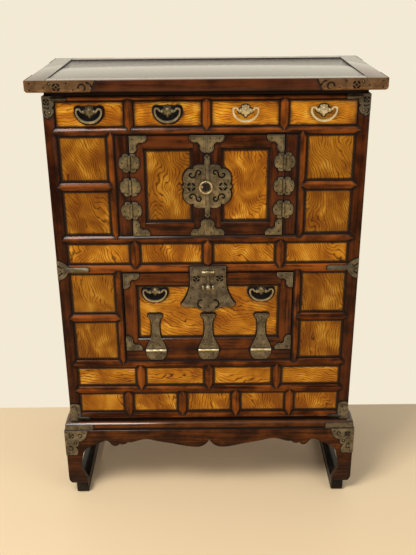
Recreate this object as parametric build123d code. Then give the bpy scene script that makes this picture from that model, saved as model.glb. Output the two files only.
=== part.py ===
from build123d import *
import os

# Korean two tier chest on a stand. Millimetres; +X is the viewer's right, +Y the back, +Z up.
# The origin lies on the floor under the middle of the top.

# ---------------------------------------------------------------- driving sizes
# Top
TOP_W = 791.6
TOP_D = 390.4
TOP_T = 27.0
TOP_SIDE_BORDER = 45.0
TOP_FRONT_BORDER = 32.0
TOP_UNDER_ROUND = 8.0
TOP_PANEL_T = 10.0
TOP_PANEL_SINK = 2.0
TONGUE = 5.0
CAP_T = 1.2
CAP_FRONT_REACH = 153.0
CAP_SIDE_REACH = 90.0
CAP_SLANT = 12.0
NECK_H = 10.0
NECK_T = 16.0
NECK_SET = 5.0

# Carcass
BODY_W = 731.0
BODY_D = 357.0
FRONT_OVERHANG = 20.0
POST_W = 25.5
POST_D = 32.0
POST_BEVEL = 9.0
MOULD = 6.0
RAIL_D = 26.0
BACK_T = 20.0
PANEL_SET = 9.0
PANEL_T = 6.0
SIDE_PANEL_SET = 8.0
FACE_SET = 4.0
LEAF_T = 18.0

# Heights, from the foot of the carcass up: rails and the rows of panels between them
BASE_RAIL_H = 21.9
BASE_ROW_H = 60.3
WAIST_RAIL_H = 19.7
WAIST_ROW_H = 56.6
FLAP_RAIL_H = 21.2
LOWER_TIER_H = 241.2
MIDDLE_RAIL_H = 21.0
FRIEZE_ROW_H = 57.2
DOOR_RAIL_H = 18.4
UPPER_TIER_H = 241.0
DRAWER_RAIL_H = 18.7
DRAWER_ROW_H = 58.7
TOP_RAIL_H = 12.6

# Uprights and short rails on the front
DIVIDER_W = 20.0
ROW_BAYS = 4
BASE_BAYS = 5
BAY_POST_X = 217.8
BAY_POST_W = 17.6
BAY_RAIL_H = 19.0
UPPER_BAY_RAIL_UP = 111.9
LOWER_BAY_RAIL_UP = 110.8
JAMB_W = 30.0
SILL_H = 29.1

# Boards inside
DECK_T = 10.0
FLOOR_T = 12.0
GUIDE_H = 20.0

# Doors and flap
LEAF_GAP = 0.8
CLOSING_BEVEL = 2.0
FRAME_BEVEL = 3.0
LEAF_PANEL_SET = 5.0
DOOR_STILE_W = 34.0
DOOR_TOP_W = 32.0
DOOR_BOTTOM_W = 33.0
FLAP_STILE_W = 31.5
FLAP_TOP_W = 33.0
FLAP_BOTTOM_W = 33.0

# Drawers
DRAWER_SET = 7.0
DRAWER_LENGTH = 290.0
DRAWER_FRONT_T = 14.0
DRAWER_SIDE_T = 8.0
DRAWER_SIDE_H = 44.0
DRAWER_BOTTOM_T = 5.0
DRAWER_GAP = 0.8
DRAWER_RUN = 0.3

# Brass
PLATE_T = 1.6
BRASS_GAP = 0.3
PIN_FIT = 0.1
KNUCKLE_R = 2.6
KNUCKLE_PIN_R = 1.2
DOOR_HINGE_PITCH = 57.2
HINGE_LOBE_R = 10.5
HINGE_NOSE_R = 8.5
HINGE_REACH = 22.5
HINGE_BARRELS = 3
DOOR_CORNER_ARM = 39.0
FLAP_CORNER_ARM = 38.0
CORNER_ARM_W = 17.0

LOCK_RADIUS = 49.5
LOCK_TIP_X = 57.8
LOCK_LOBE_R = 16.0
LOCK_SIDE_R = 22.0
LOCK_SIDE_X = 33.0
LOCK_SIDE_UP = 19.8
STRIP_HALF_W = 5.5
STRIP_HALF_L = 76.0
SPEAR_W = 8.0
SPEAR_H = 12.0
COIN_X = 36.0
COIN_R = 6.5
COIN_BAR = 3.0
KNOB_R = 2.6
KNOB_H = 3.6
LEFT_KNOB_X = -12.5
RIGHT_KNOB_X = 8.7
RING_X = -3.0
RING_R = 14.0
RING_WIRE_R = 1.8
RING_STANDOFF = 8.0
EYE_WIRE_R = 1.1

EYE_POST_X = 11.5
EYE_POST_R = 2.6
EYE_PIN_R = 1.1
PIVOT_STANDOFF = 9.5
PIVOT_UP = 8.3
# Drawers whose plates carry a crescent, counted from the left.
CRESCENT_DRAWERS = (0, 1)
BAIL_HALF_W = 30.0
BAIL_DROP = 27.0
BAIL_SIDE_W = 3.6
BAIL_BOTTOM_W = 5.5
BAIL_HORN_R = 7.7
BAIL_T = 3.6
HANDLE_PLATE_T = 1.2
CRESCENT_RIM = 2.6
CRESCENT_W = 6.5
BOSS_R = 8.5
BOSS_UP = 3.0
BOSS_DROP = 17.0

STRAP_PITCH = 132.8
STRAP_FOOT_W = 51.0
STRAP_WAIST_W = 21.0
STRAP_HEAD_W = 35.0
STRAP_H = 102.0
STRAP_WAIST_UP = 62.0
STRAP_SHOULDER = 8.7
STRAP_LEAF_H = 27.0
STRAP_LEAF_TIP_W = 34.0
STRAP_LEAF_MID_W = 47.0

BELL_TOP_UP = 17.5
BELL_HALF_W = 43.5
BELL_TIP_X = 66.0
BELL_WAIST_DROP = 51.0
BELL_TIP_DROP = 104.0
BELL_LOBE_DROP = 121.0
BELL_LOBE_HALF_W = 22.0
BELL_LOBE_SIDE_DROP = 111.3
BELL_HOLLOW = 1.5
BELL_STEP_DROP = 5.8
BELL_STEP_H = 3.2
HASP_PIN_R = 1.8
HASP_PIN_HALF_L = 14.5
HASP_PIN_DROP = 12.7
HASP_NECK_W = 11.0
HASP_NECK_T = 2.6
HASP_DROP = 40.0
HASP_BARREL_R = 5.0
HASP_BARREL_HALF_L = 16.0
HASP_BALL_R = 6.2
FLAP_HANDLE_X = 131.0
FLAP_HANDLE_UP = 155.0
FLAP_CRESCENT_EXTRA = 2.5

BRACKET_T = 1.2
BRACKET_ARM_H = 12.5
TOP_BRACKET_ARM = 54.0
WAIST_BRACKET_ARM = 76.5
BASE_BRACKET_ARM = 51.5
# Edge of each bracket's plate on the corner post, as curves that meet in cusps: (distance in
# from the side, height above the middle of its arm).
TOP_BRACKET_EDGE = [
    [(POST_W, -11), (24.8, -15), (20.0, -19.5)],
    [(20.0, -19.5), (24.2, -29), (19.0, -37), (11.0, -42.5)],
    [(11.0, -42.5), (3.5, -38), (0, -31)],
]
WAIST_BRACKET_EDGE = [[(POST_W, 7.5), (17.5, 18), (9.0, 23.5), (0, 25.5)]]
BASE_BRACKET_EDGE = [[(POST_W, 33), (22.5, 42), (12.5, 46.8), (0, 41)]]

# Stand
RUNNER_H = 31.5
RUNNER_W = 31.0
RUNNER_INSET = 19.5
RUNNER_ROUND = 8.0
APRON_H = 168.3
APRON_T = 22.0
STAND_SIDE_STEP = 17.0
STAND_FRONT_STEP = 15.0
STAND_BACK_STEP = 8.0
MOULDING_H = 20.6
MOULDING_W = 58.0
MOULDING_INSET = 3.5
MOULDING_BEVEL = 4.0
LEG_FOOT_W = 52.0
# Outer corner of a foot: (distance in from the side, height above the runner).
HEEL_CURVE = [(0, 16), (1.6, 8), (8, 0)]
# Inner edge of a leg and the lobes beside it: (distance in from the side, drop below the top).
LEG_CURVE = [(41.5, 144), (35, 122), (39, 96), (51, 61), (71, 48), (98, 35)]
LOBES = [[(109, 33), (120, 43)], [(133, 50), (143, 43)], [(154, 45), (165, 38)]]
# Under the apron: (distance from the middle, drop below the top).
MIDDLE_CURVE = [(206, 38), (190, 33), (170, 29), (136, 36), (99, 43), (70, 50), (36, 55)]
NOTCH_CURVE = [(22, 53), (8, 44), (0, 31)]
SIDE_LEG_W = 58.0
SIDE_ARCH_UP = 112.0
SIDE_ARCH_ROUND = 30.0
FOOT_PLATE_W = 60.0
FOOT_PLATE_H = 76.0
# Scalloped edge of a foot plate: (distance in from the side, height above its lower edge).
FOOT_PLATE_LOBES = [
    [(27, 0), (31.5, 13), (25, 25)],
    [(25, 25), (34, 31), (35, 43)],
    [(35, 43), (50, 50), (58, 64), (FOOT_PLATE_W, FOOT_PLATE_H)],
]
FOOT_WING_W = 60.0
MOULDING_CAP_W = 72.0
MOULDING_CAP_WING = 55.0

# ---------------------------------------------------------------- planes and levels
FRONT = -TOP_D / 2 + FRONT_OVERHANG
BACK = FRONT + BODY_D
FACE = FRONT + FACE_SET
SIDE = BODY_W / 2
INNER = SIDE - POST_W
INSIDE_FRONT = FRONT + RAIL_D
INSIDE_BACK = BACK - BACK_T


def above(span, height):
    """Heights of what stands on top of a (low, high) span."""
    return span[1], span[1] + height


def middle_of(span):
    return (span[0] + span[1]) / 2


def widened(span, margin):
    """The span with a margin added at both ends."""
    return span[0] - margin, span[1] + margin


STAND_TOP = RUNNER_H + APRON_H
moulding = above((0, STAND_TOP), MOULDING_H)
base_rail = above(moulding, BASE_RAIL_H)
base_row = above(base_rail, BASE_ROW_H)
waist_rail = above(base_row, WAIST_RAIL_H)
waist_row = above(waist_rail, WAIST_ROW_H)
flap_rail = above(waist_row, FLAP_RAIL_H)
lower_tier = above(flap_rail, LOWER_TIER_H)
middle_rail = above(lower_tier, MIDDLE_RAIL_H)
frieze_row = above(middle_rail, FRIEZE_ROW_H)
door_rail = above(frieze_row, DOOR_RAIL_H)
upper_tier = above(door_rail, UPPER_TIER_H)
drawer_rail = above(upper_tier, DRAWER_RAIL_H)
drawer_row = above(drawer_rail, DRAWER_ROW_H)
top_rail = above(drawer_row, TOP_RAIL_H)
neck = above(top_rail, NECK_H)
top = above(neck, TOP_T)

BODY_BASE = moulding[1]
BODY_TOP = top_rail[1]


# ---------------------------------------------------------------- shared shapes
def board(x, y, z):
    """Plain board between the given (low, high) spans."""
    size = Box(x[1] - x[0], y[1] - y[0], z[1] - z[0])
    return Pos(middle_of(x), middle_of(y), middle_of(z)) * size


def along_x(outline, x):
    """Bar with a (y, z) outline between two x."""
    profile = make_face(Polyline(*outline, close=True))
    return extrude(Plane.YZ.offset(x[0]) * profile, x[1] - x[0])


def along_z(outline, z):
    """Bar with an (x, y) outline between two z."""
    profile = make_face(Polyline(*outline, close=True))
    return extrude(Plane.XY.offset(z[0]) * profile, z[1] - z[0])


def from_front(sketch, back_y, thickness):
    """Plate with an (x, z) outline, standing forward from back_y."""
    return extrude(Plane.XZ.offset(-back_y) * sketch, thickness)


def from_side(sketch, inner_x, thickness):
    """Plate with a (y, z) outline, standing outward (+X) from inner_x."""
    return extrude(Plane.YZ.offset(inner_x) * sketch, thickness)


def rod(start, end, radius):
    """Round bar between two points."""
    run = Vector(*end) - Vector(*start)
    shaft = Cylinder(radius, run.length, align=(Align.CENTER, Align.CENTER, Align.MIN))
    return Plane(origin=start, z_dir=run) * shaft


def both_sides(shape):
    """The shape and its mirror image across the chest's middle plane."""
    return [shape, mirror(shape, about=Plane.YZ)]


def solids_of(pieces):
    """All solids of nested pieces as one flat list."""
    if isinstance(pieces, (list, tuple)):
        return [solid for piece in pieces for solid in solids_of(piece)]
    return list(pieces.solids())


def cut(members, tools):
    """Each member less the tools that it is fitted round."""
    return [member - tools for member in members]


def save(name, *pieces):
    """Write the pieces as one node."""
    solids = solids_of(pieces)
    shape = solids[0] if len(solids) == 1 else Compound(solids)
    export_step(shape, f"parts/{name}.step")


def equal_bays(half_width, count, bar_w):
    """Equal bays between -half_width and half_width, with bars between them."""
    bay_w = (2 * half_width - (count - 1) * bar_w) / count
    starts = [-half_width + i * (bay_w + bar_w) for i in range(count)]
    return [(x, x + bay_w) for x in starts]


def between(bays):
    """The bars that part neighbouring bays."""
    return [(left[1], right[0]) for left, right in zip(bays, bays[1:])]


def ridge_rail(x, z):
    """Horizontal front member whose face rises to a ridge at its middle height."""
    ridge = middle_of(z)
    outline = [(INSIDE_FRONT, z[0]), (FRONT + MOULD, z[0]), (FRONT, ridge)]
    outline += [(FRONT + MOULD, z[1]), (INSIDE_FRONT, z[1])]
    return along_x(outline, x)


def ridge_upright(x, z):
    """Upright front member whose face rises to a ridge at its middle."""
    ridge = middle_of(x)
    outline = [(x[0], INSIDE_FRONT), (x[0], FRONT + MOULD), (ridge, FRONT)]
    outline += [(x[1], FRONT + MOULD), (x[1], INSIDE_FRONT)]
    return along_z(outline, z)


os.makedirs("parts", exist_ok=True)

# ---------------------------------------------------------------- top
# A sunk panel in four boards, the side ones running full depth; the lower outer edge is rounded.
border_x = (TOP_W / 2 - TOP_SIDE_BORDER, TOP_W / 2)
border_y = (-TOP_D / 2, -TOP_D / 2 + TOP_FRONT_BORDER)
side_border = board(border_x, (-TOP_D / 2, TOP_D / 2), top)
under_edges = side_border.edges().group_by(Axis.Z)[0]
inner_edge = under_edges.sort_by(Axis.X)[0]
side_border = fillet([edge for edge in under_edges if edge != inner_edge], TOP_UNDER_ROUND)
front_border = board((-border_x[0], border_x[0]), border_y, top)
front_edge = front_border.edges().group_by(Axis.Z)[0].sort_by(Axis.Y)[0]
front_border = fillet(front_edge, TOP_UNDER_ROUND)
top_frame = both_sides(side_border) + [front_border, mirror(front_border, about=Plane.XZ)]

open_x = (-border_x[0], border_x[0])
open_y = (border_y[1], -border_y[1])
tongue_z = (top[1] - TOP_PANEL_SINK - TOP_PANEL_T, top[1] - TOP_PANEL_SINK - TOP_PANEL_T / 2)
top_panel = board(widened(open_x, TONGUE), widened(open_y, TONGUE), tongue_z)
top_panel += board(open_x, open_y, (tongue_z[1], top[1] - TOP_PANEL_SINK))
save("top_frame", cut(top_frame, top_panel))
save("top_panel", top_panel)

# Brass caps wrap the four corners of the top's edge.


def top_block(margin):
    """The whole top as one rounded block, grown outward by a margin."""
    half_w = TOP_W / 2 + margin
    half_d = TOP_D / 2 + margin
    block = board((-half_w, half_w), (-half_d, half_d), top)
    return fillet(block.faces().sort_by(Axis.Z)[0].edges(), TOP_UNDER_ROUND)


cap_shell = top_block(CAP_T) - top_block(0)
cap_far_x = TOP_W / 2 + CAP_T
cap_inner_x = TOP_W / 2 - CAP_FRONT_REACH
cap_inner_y = TOP_D / 2 - CAP_SIDE_REACH
cap_outline = [(cap_inner_x, top[1]), (cap_far_x, top[1])]
cap_outline += [(cap_far_x, top[0]), (cap_inner_x + CAP_SLANT, top[0])]
cap_region = from_front(make_face(Polyline(*cap_outline, close=True)), -cap_inner_y, TOP_D)
cap = cap_shell & cap_region
save("top_corner_caps", both_sides(cap), both_sides(mirror(cap, about=Plane.XZ)))

# A recessed strip joins the top to the carcass.
neck_x = SIDE - NECK_SET
neck_front = FRONT + NECK_SET
neck_back = BACK - NECK_SET
save(
    "neck_strips",
    board((-neck_x, neck_x), (neck_front, neck_front + NECK_T), neck),
    board((-neck_x, neck_x), (neck_back - NECK_T, neck_back), neck),
    both_sides(board((neck_x - NECK_T, neck_x), (neck_front + NECK_T, neck_back - NECK_T), neck)),
)

# ---------------------------------------------------------------- front frame
post_outline = [(SIDE, FRONT), (INNER + POST_BEVEL, FRONT), (INNER, FRONT + MOULD)]
post_outline += [(INNER, FRONT + POST_D), (SIDE, FRONT + POST_D)]
front_posts = both_sides(along_z(post_outline, (BODY_BASE, BODY_TOP)))
back_posts = both_sides(board((INNER, SIDE), (BACK - POST_D, BACK), (BODY_BASE, BODY_TOP)))

rail_levels = [base_rail, waist_rail, flap_rail, middle_rail, door_rail, drawer_rail, top_rail]
rail_reach = INNER + POST_BEVEL
front_rails = [ridge_rail((-rail_reach, rail_reach), level) for level in rail_levels]
front_rails = cut(front_rails, front_posts)

row_bays = equal_bays(INNER, ROW_BAYS, DIVIDER_W)
base_bays = equal_bays(INNER, BASE_BAYS, DIVIDER_W)


def dividers(bays, below, over):
    """Uprights between bays, pointed where they run up the slopes of two rails."""
    height = (middle_of(below), middle_of(over))
    return cut([ridge_upright(bar, height) for bar in between(bays)], front_rails)


row_dividers = dividers(row_bays, drawer_rail, top_rail)
row_dividers += dividers(row_bays, middle_rail, door_rail)
row_dividers += dividers(row_bays, waist_rail, flap_rail)
row_dividers += dividers(base_bays, base_rail, waist_rail)

bay_post_x = (BAY_POST_X - BAY_POST_W / 2, BAY_POST_X + BAY_POST_W / 2)
upper_posts = both_sides(ridge_upright(bay_post_x, (middle_of(door_rail), middle_of(drawer_rail))))
lower_posts = both_sides(ridge_upright(bay_post_x, (middle_of(flap_rail), middle_of(middle_rail))))
bay_posts = cut(upper_posts + lower_posts, front_rails)

upper_bay_rail = above((upper_tier[0], upper_tier[0] + UPPER_BAY_RAIL_UP), BAY_RAIL_H)
lower_bay_rail = above((lower_tier[0], lower_tier[0] + LOWER_BAY_RAIL_UP), BAY_RAIL_H)
bay_rails = []
for level in (upper_bay_rail, lower_bay_rail):
    bay_rails += both_sides(ridge_rail((BAY_POST_X, rail_reach), level))
bay_rails = cut(bay_rails, front_posts + bay_posts)

# Thin panels stand in grooves round each field.
panel_y = (FRONT + PANEL_SET, FRONT + PANEL_SET + PANEL_T)


def front_panel(x, z):
    """Panel that fills a field and enters the grooves round it."""
    return board(widened(x, TONGUE), panel_y, widened(z, TONGUE))


row_panels = [front_panel(bay, frieze_row) for bay in row_bays]
row_panels += [front_panel(bay, waist_row) for bay in row_bays]
row_panels += [front_panel(bay, base_row) for bay in base_bays]

side_bay = (bay_post_x[1], INNER)
bay_fields = [(upper_tier[0], upper_bay_rail[0]), (upper_bay_rail[1], upper_tier[1])]
bay_fields += [(lower_tier[0], lower_bay_rail[0]), (lower_bay_rail[1], lower_tier[1])]
bay_panels = []
for field in bay_fields:
    bay_panels += both_sides(front_panel(side_bay, field))

# ---------------------------------------------------------------- sides and back
side_levels = [base_rail, flap_rail, middle_rail, door_rail, drawer_rail, top_rail]
side_rail_y = (FRONT + POST_D, BACK - POST_D)
side_rails = []
for level in side_levels:
    side_rails += both_sides(board((INNER, SIDE), side_rail_y, level))

side_panel_x = (SIDE - SIDE_PANEL_SET - PANEL_T, SIDE - SIDE_PANEL_SET)
side_panel_y = widened(side_rail_y, TONGUE)
side_panels = []
for low, high in zip(side_levels, side_levels[1:]):
    panel = board(side_panel_x, side_panel_y, widened((low[1], high[0]), TONGUE))
    side_panels += both_sides(panel)

back_levels = [base_rail, door_rail, top_rail]
back_rails = [board((-INNER, INNER), (INSIDE_BACK, BACK), level) for level in back_levels]
back_panel_y = (INSIDE_BACK + PANEL_T, INSIDE_BACK + 2 * PANEL_T)
back_panels = []
for low, high in zip(back_levels, back_levels[1:]):
    height = widened((low[1], high[0]), TONGUE)
    back_panels.append(board(widened((-INNER, INNER), TONGUE), back_panel_y, height))

all_panels = row_panels + bay_panels + side_panels + back_panels
save("corner_posts", cut(front_posts + back_posts, all_panels))
save("front_rails", cut(front_rails, row_panels + bay_panels))
save("row_dividers", cut(row_dividers, row_panels))
save("bay_posts", cut(bay_posts, bay_panels))
save("bay_rails", cut(bay_rails, bay_panels))
save("row_panels", row_panels)
save("bay_panels", bay_panels)
save("side_rails", cut(side_rails, side_panels))
save("side_panels", side_panels)
save("back_rails", cut(back_rails, back_panels))
save("back_panels", back_panels)

# ---------------------------------------------------------------- jambs, sill and inner boards
jamb_x = (bay_post_x[0] - JAMB_W, bay_post_x[0])
leaf_y = (FACE, FACE + LEAF_T)
save("door_jambs", both_sides(board(jamb_x, leaf_y, upper_tier)))

sill = (lower_tier[0], lower_tier[0] + SILL_H)
save("flap_sill", board((-bay_post_x[0], bay_post_x[0]), leaf_y, sill))

inside_y = (INSIDE_FRONT, INSIDE_BACK)
inside_x = (-INNER, INNER)
deck = (drawer_rail[1] - DECK_T, drawer_rail[1])
save("drawer_deck", board(inside_x, inside_y, deck))
save("cabinet_floor", board(inside_x, inside_y, (door_rail[1] - FLOOR_T, door_rail[1])))
save("trunk_floor", board(inside_x, inside_y, (base_rail[1] - FLOOR_T, base_rail[1])))

guide_z = (deck[1], deck[1] + GUIDE_H)
end_guides = both_sides(board((INNER, side_panel_x[0]), side_rail_y, guide_z))
save("drawer_guides", [board(bar, inside_y, guide_z) for bar in between(row_bays)], end_guides)

# ---------------------------------------------------------------- handles


def coin(x, z, radius):
    """Pierced coin: four quarters parted by a cross of bars."""
    ring = Circle(radius) - Rectangle(2 * radius, COIN_BAR) - Rectangle(COIN_BAR, 2 * radius)
    return Pos(x, z) * Rot(0, 0, 45) * ring


def right_half(sketch):
    return sketch & (Pos(TOP_W / 2, 0) * Rectangle(TOP_W, TOP_W))


def lower_half(sketch):
    return sketch & (Pos(0, -TOP_W / 2) * Rectangle(TOP_W, TOP_W))


def handle_plate(crescent_extra, with_crescent):
    """Vase-shaped back plate with two eye posts; its pivots lie on x, at z = 0."""
    shape = Pos(0, BOSS_UP) * Circle(BOSS_R)
    shape += Polygon((-BOSS_R, BOSS_UP), (0, -BOSS_DROP), (BOSS_R, BOSS_UP), align=None)
    shape += Rectangle(2 * EYE_POST_X, BAIL_HORN_R)
    for sign in (-1, 1):
        shape += Pos(sign * EYE_POST_X, 0) * Circle(EYE_POST_R + CRESCENT_RIM)
    if with_crescent:
        outer_w = BAIL_HALF_W + crescent_extra
        outer_h = BAIL_DROP + CRESCENT_RIM
        rim = Ellipse(outer_w, outer_h) - Ellipse(outer_w - CRESCENT_W, outer_h - CRESCENT_W)
        shape += lower_half(rim)
        for sign in (-1, 1):
            shape += Pos(sign * (outer_w - BAIL_HORN_R), 0) * Circle(BAIL_HORN_R)
        shape += Rectangle(2 * (outer_w - BAIL_HORN_R), BAIL_HORN_R)
    plate = from_front(shape, 0, HANDLE_PLATE_T)
    pivot_y = -HANDLE_PLATE_T - PIVOT_STANDOFF
    for sign in (-1, 1):
        foot = (sign * EYE_POST_X, -HANDLE_PLATE_T, 0)
        head = (sign * EYE_POST_X, pivot_y - EYE_POST_R, 0)
        bore_end = (sign * (EYE_POST_X + 2 * EYE_POST_R), pivot_y, 0)
        plate += rod(foot, head, EYE_POST_R)
        plate -= rod((sign * EYE_POST_X, pivot_y, 0), bore_end, EYE_PIN_R + PIN_FIT)
    return plate


def bail():
    """Crescent bail with curled horns and two pins for the eye posts."""
    inner = Ellipse(BAIL_HALF_W - BAIL_SIDE_W, BAIL_DROP - (BAIL_BOTTOM_W + BAIL_SIDE_W) / 2)
    rise = (BAIL_BOTTOM_W - BAIL_SIDE_W) / 2
    shape = lower_half(Ellipse(BAIL_HALF_W, BAIL_DROP) - Pos(0, rise) * inner)
    horn_x = BAIL_HALF_W - BAIL_HORN_R
    hook_x = horn_x - BAIL_HORN_R + BAIL_SIDE_W / 2
    for sign in (-1, 1):
        horn = Circle(BAIL_HORN_R) - Circle(BAIL_HORN_R - BAIL_SIDE_W)
        horn &= Pos(0, BAIL_HORN_R / 2) * Rectangle(2 * BAIL_HORN_R, BAIL_HORN_R)
        shape += Pos(sign * horn_x, 0) * horn
        shape += Pos(sign * hook_x, 0) * Circle(BAIL_SIDE_W / 2)
    body = from_front(shape, BAIL_T / 2, BAIL_T)
    for sign in (-1, 1):
        body += rod((sign * hook_x, 0, 0), (sign * EYE_POST_X, 0, 0), EYE_PIN_R)
    return body


def place_handle(x, z, face_y, crescent_extra, with_crescent):
    """Plate and bail at a pivot height z on a face."""
    plate = Pos(x, face_y, z) * handle_plate(crescent_extra, with_crescent)
    swing = Pos(x, face_y - HANDLE_PLATE_T - PIVOT_STANDOFF, z) * bail()
    return plate, swing


# ---------------------------------------------------------------- drawers
drawer_z = (drawer_row[0] + DRAWER_RUN, drawer_row[1] - DRAWER_GAP)
drawer_front_y = (FRONT + DRAWER_SET, FRONT + DRAWER_SET + DRAWER_FRONT_T)
drawer_box_y = (drawer_front_y[1], drawer_front_y[0] + DRAWER_LENGTH)
for i, bay in enumerate(row_bays):
    x = (bay[0] + DRAWER_GAP, bay[1] - DRAWER_GAP)
    middle_x = middle_of(x)
    middle_z = middle_of(drawer_z)
    side_z = (drawer_z[0], drawer_z[0] + DRAWER_SIDE_H)
    inner_x = (x[0] + DRAWER_SIDE_T, x[1] - DRAWER_SIDE_T)
    back_y = (drawer_box_y[1] - DRAWER_SIDE_T, drawer_box_y[1])
    save(
        f"drawer_{i + 1}",
        board(x, drawer_front_y, drawer_z),
        board((x[0], inner_x[0]), drawer_box_y, side_z),
        board((inner_x[1], x[1]), drawer_box_y, side_z),
        board(inner_x, back_y, side_z),
        board(inner_x, (drawer_box_y[0], back_y[0]), (drawer_z[0], drawer_z[0] + DRAWER_BOTTOM_T)),
    )
    plate, swing = place_handle(
        middle_x, middle_z + PIVOT_UP, drawer_front_y[0], 0, i in CRESCENT_DRAWERS
    )
    save(f"drawer_{i + 1}_plate", plate)
    save(f"drawer_{i + 1}_bail", swing)


# ---------------------------------------------------------------- framed leaves
def framed_leaf(x, z, stile_w, top_w, bottom_w, edges):
    """Stiles, rails and panel of a leaf; edges names which sides are bevelled to swing clear."""
    front, back = leaf_y
    slot_z = (z[0] + bottom_w, z[1] - top_w)
    slot_x = (x[0] + stile_w, x[1] - stile_w)
    bevel_right = CLOSING_BEVEL if "right" in edges else 0
    bevel_left = CLOSING_BEVEL if "left" in edges else 0
    bevel_top = CLOSING_BEVEL if "top" in edges else 0
    left = [(x[0], front), (slot_x[0] - FRAME_BEVEL, front), (slot_x[0], front + FRAME_BEVEL)]
    left += [(slot_x[0], back), (x[0] + bevel_left, back)]
    right = [(x[1], front), (slot_x[1] + FRAME_BEVEL, front), (slot_x[1], front + FRAME_BEVEL)]
    right += [(slot_x[1], back), (x[1] - bevel_right, back)]
    over = [(front, z[1]), (front, slot_z[1] + FRAME_BEVEL), (front + FRAME_BEVEL, slot_z[1])]
    over += [(back, slot_z[1]), (back, z[1] - bevel_top)]
    under = [(front, z[0]), (front, slot_z[0] - FRAME_BEVEL), (front + FRAME_BEVEL, slot_z[0])]
    under += [(back, slot_z[0]), (back, z[0])]
    reach = (slot_x[0] - FRAME_BEVEL, slot_x[1] + FRAME_BEVEL)
    stiles = [along_z(left, z), along_z(right, z)]
    if bevel_top:
        stiles = cut(stiles, along_x([(front, z[1]), (back, z[1]), (back, z[1] - bevel_top)], x))
    rails = cut([along_x(over, reach), along_x(under, reach)], stiles)
    panel_y = (front + LEAF_PANEL_SET, front + LEAF_PANEL_SET + PANEL_T)
    panel = board(widened(slot_x, TONGUE), panel_y, widened(slot_z, TONGUE))
    return cut(stiles + rails, panel), panel


def corner_plate(x, z, sign_x, sign_z, arm):
    """Two-armed plate in the corner (x, z) of a leaf, with rounded arm ends."""
    half = CORNER_ARM_W / 2
    bar = arm - half
    shape = Pos(x + sign_x * bar / 2, z + sign_z * half) * Rectangle(bar, CORNER_ARM_W)
    shape += Pos(x + sign_x * half, z + sign_z * bar / 2) * Rectangle(CORNER_ARM_W, bar)
    shape += Pos(x + sign_x * bar, z + sign_z * half) * Circle(half)
    shape += Pos(x + sign_x * half, z + sign_z * bar) * Circle(half)
    return from_front(shape, FACE, PLATE_T)


HINGE_Y = FACE - KNUCKLE_R - BRASS_GAP
LEAF_CUT_R = KNUCKLE_R + BRASS_GAP


def knuckles(start, length, fixed):
    """Barrels along a hinge line; the fixed leaf holds the end ones and the pin."""
    step = length / HINGE_BARRELS
    barrels = [(start + step * i, start + step * (i + 1)) for i in range(HINGE_BARRELS)]
    return barrels[0::2] if fixed else barrels[1::2]


# ---------------------------------------------------------------- doors
door_z = (upper_tier[0] + LEAF_GAP, upper_tier[1] - LEAF_GAP)
door_x = (LEAF_GAP / 2, jamb_x[0] - LEAF_GAP)
DOOR_HINGE_X = jamb_x[0] - LEAF_GAP / 2
DOOR_MIDDLE = middle_of(upper_tier)
hinge_heights = [DOOR_MIDDLE + k * DOOR_HINGE_PITCH for k in (-1, 0, 1)]


def door_hinge(z, side, fixed):
    """One leaf of a lobed hinge on the right-hand door; side is -1 for the door, 1 for the jamb."""
    leaf = Pos(side * HINGE_LOBE_R, HINGE_LOBE_R) * Circle(HINGE_LOBE_R)
    leaf += Pos(side * HINGE_LOBE_R, -HINGE_LOBE_R) * Circle(HINGE_LOBE_R)
    leaf += Pos(side * (HINGE_REACH - HINGE_NOSE_R), 0) * Circle(HINGE_NOSE_R)
    leaf += Pos(side * HINGE_LOBE_R / 2, 0) * Rectangle(HINGE_LOBE_R, 4 * HINGE_NOSE_R)
    body = Pos(DOOR_HINGE_X, 0, z) * from_front(leaf, FACE, PLATE_T)
    length = 4 * HINGE_NOSE_R
    start = z - length / 2
    for barrel in knuckles(start, length, not fixed):
        low, high = widened(barrel, BRASS_GAP)
        body -= rod((DOOR_HINGE_X, HINGE_Y, low), (DOOR_HINGE_X, HINGE_Y, high), LEAF_CUT_R)
    for low, high in knuckles(start, length, fixed):
        body += rod((DOOR_HINGE_X, HINGE_Y, low), (DOOR_HINGE_X, HINGE_Y, high), KNUCKLE_R)
    ends = ((DOOR_HINGE_X, HINGE_Y, start), (DOOR_HINGE_X, HINGE_Y, start + length))
    if fixed:
        return body + rod(*ends, KNUCKLE_PIN_R)
    return body - rod(*ends, KNUCKLE_PIN_R + PIN_FIT)


right_members, right_panel = framed_leaf(
    door_x, door_z, DOOR_STILE_W, DOOR_TOP_W, DOOR_BOTTOM_W, ("left",)
)
door_corners = []
for z, sign_z in ((door_z[0], 1), (door_z[1], -1)):
    door_corners.append(corner_plate(door_x[0], z, 1, sign_z, DOOR_CORNER_ARM))
    inset_x = door_x[1] - LEAF_CUT_R
    door_corners.append(corner_plate(inset_x, z, -1, sign_z, DOOR_CORNER_ARM))
door_leaves = [door_hinge(z, -1, False) for z in hinge_heights]
jamb_leaves = [door_hinge(z, 1, True) for z in hinge_heights]

save("door_right_frame", right_members)
save("door_right_panel", right_panel)
save("door_right_brass", door_corners, door_leaves)
save("door_left_frame", [mirror(member, about=Plane.YZ) for member in right_members])
save("door_left_panel", mirror(right_panel, about=Plane.YZ))
save("door_left_brass", [mirror(piece, about=Plane.YZ) for piece in door_corners + door_leaves])
save("jamb_hinge_leaves", [both_sides(leaf) for leaf in jamb_leaves])

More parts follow.
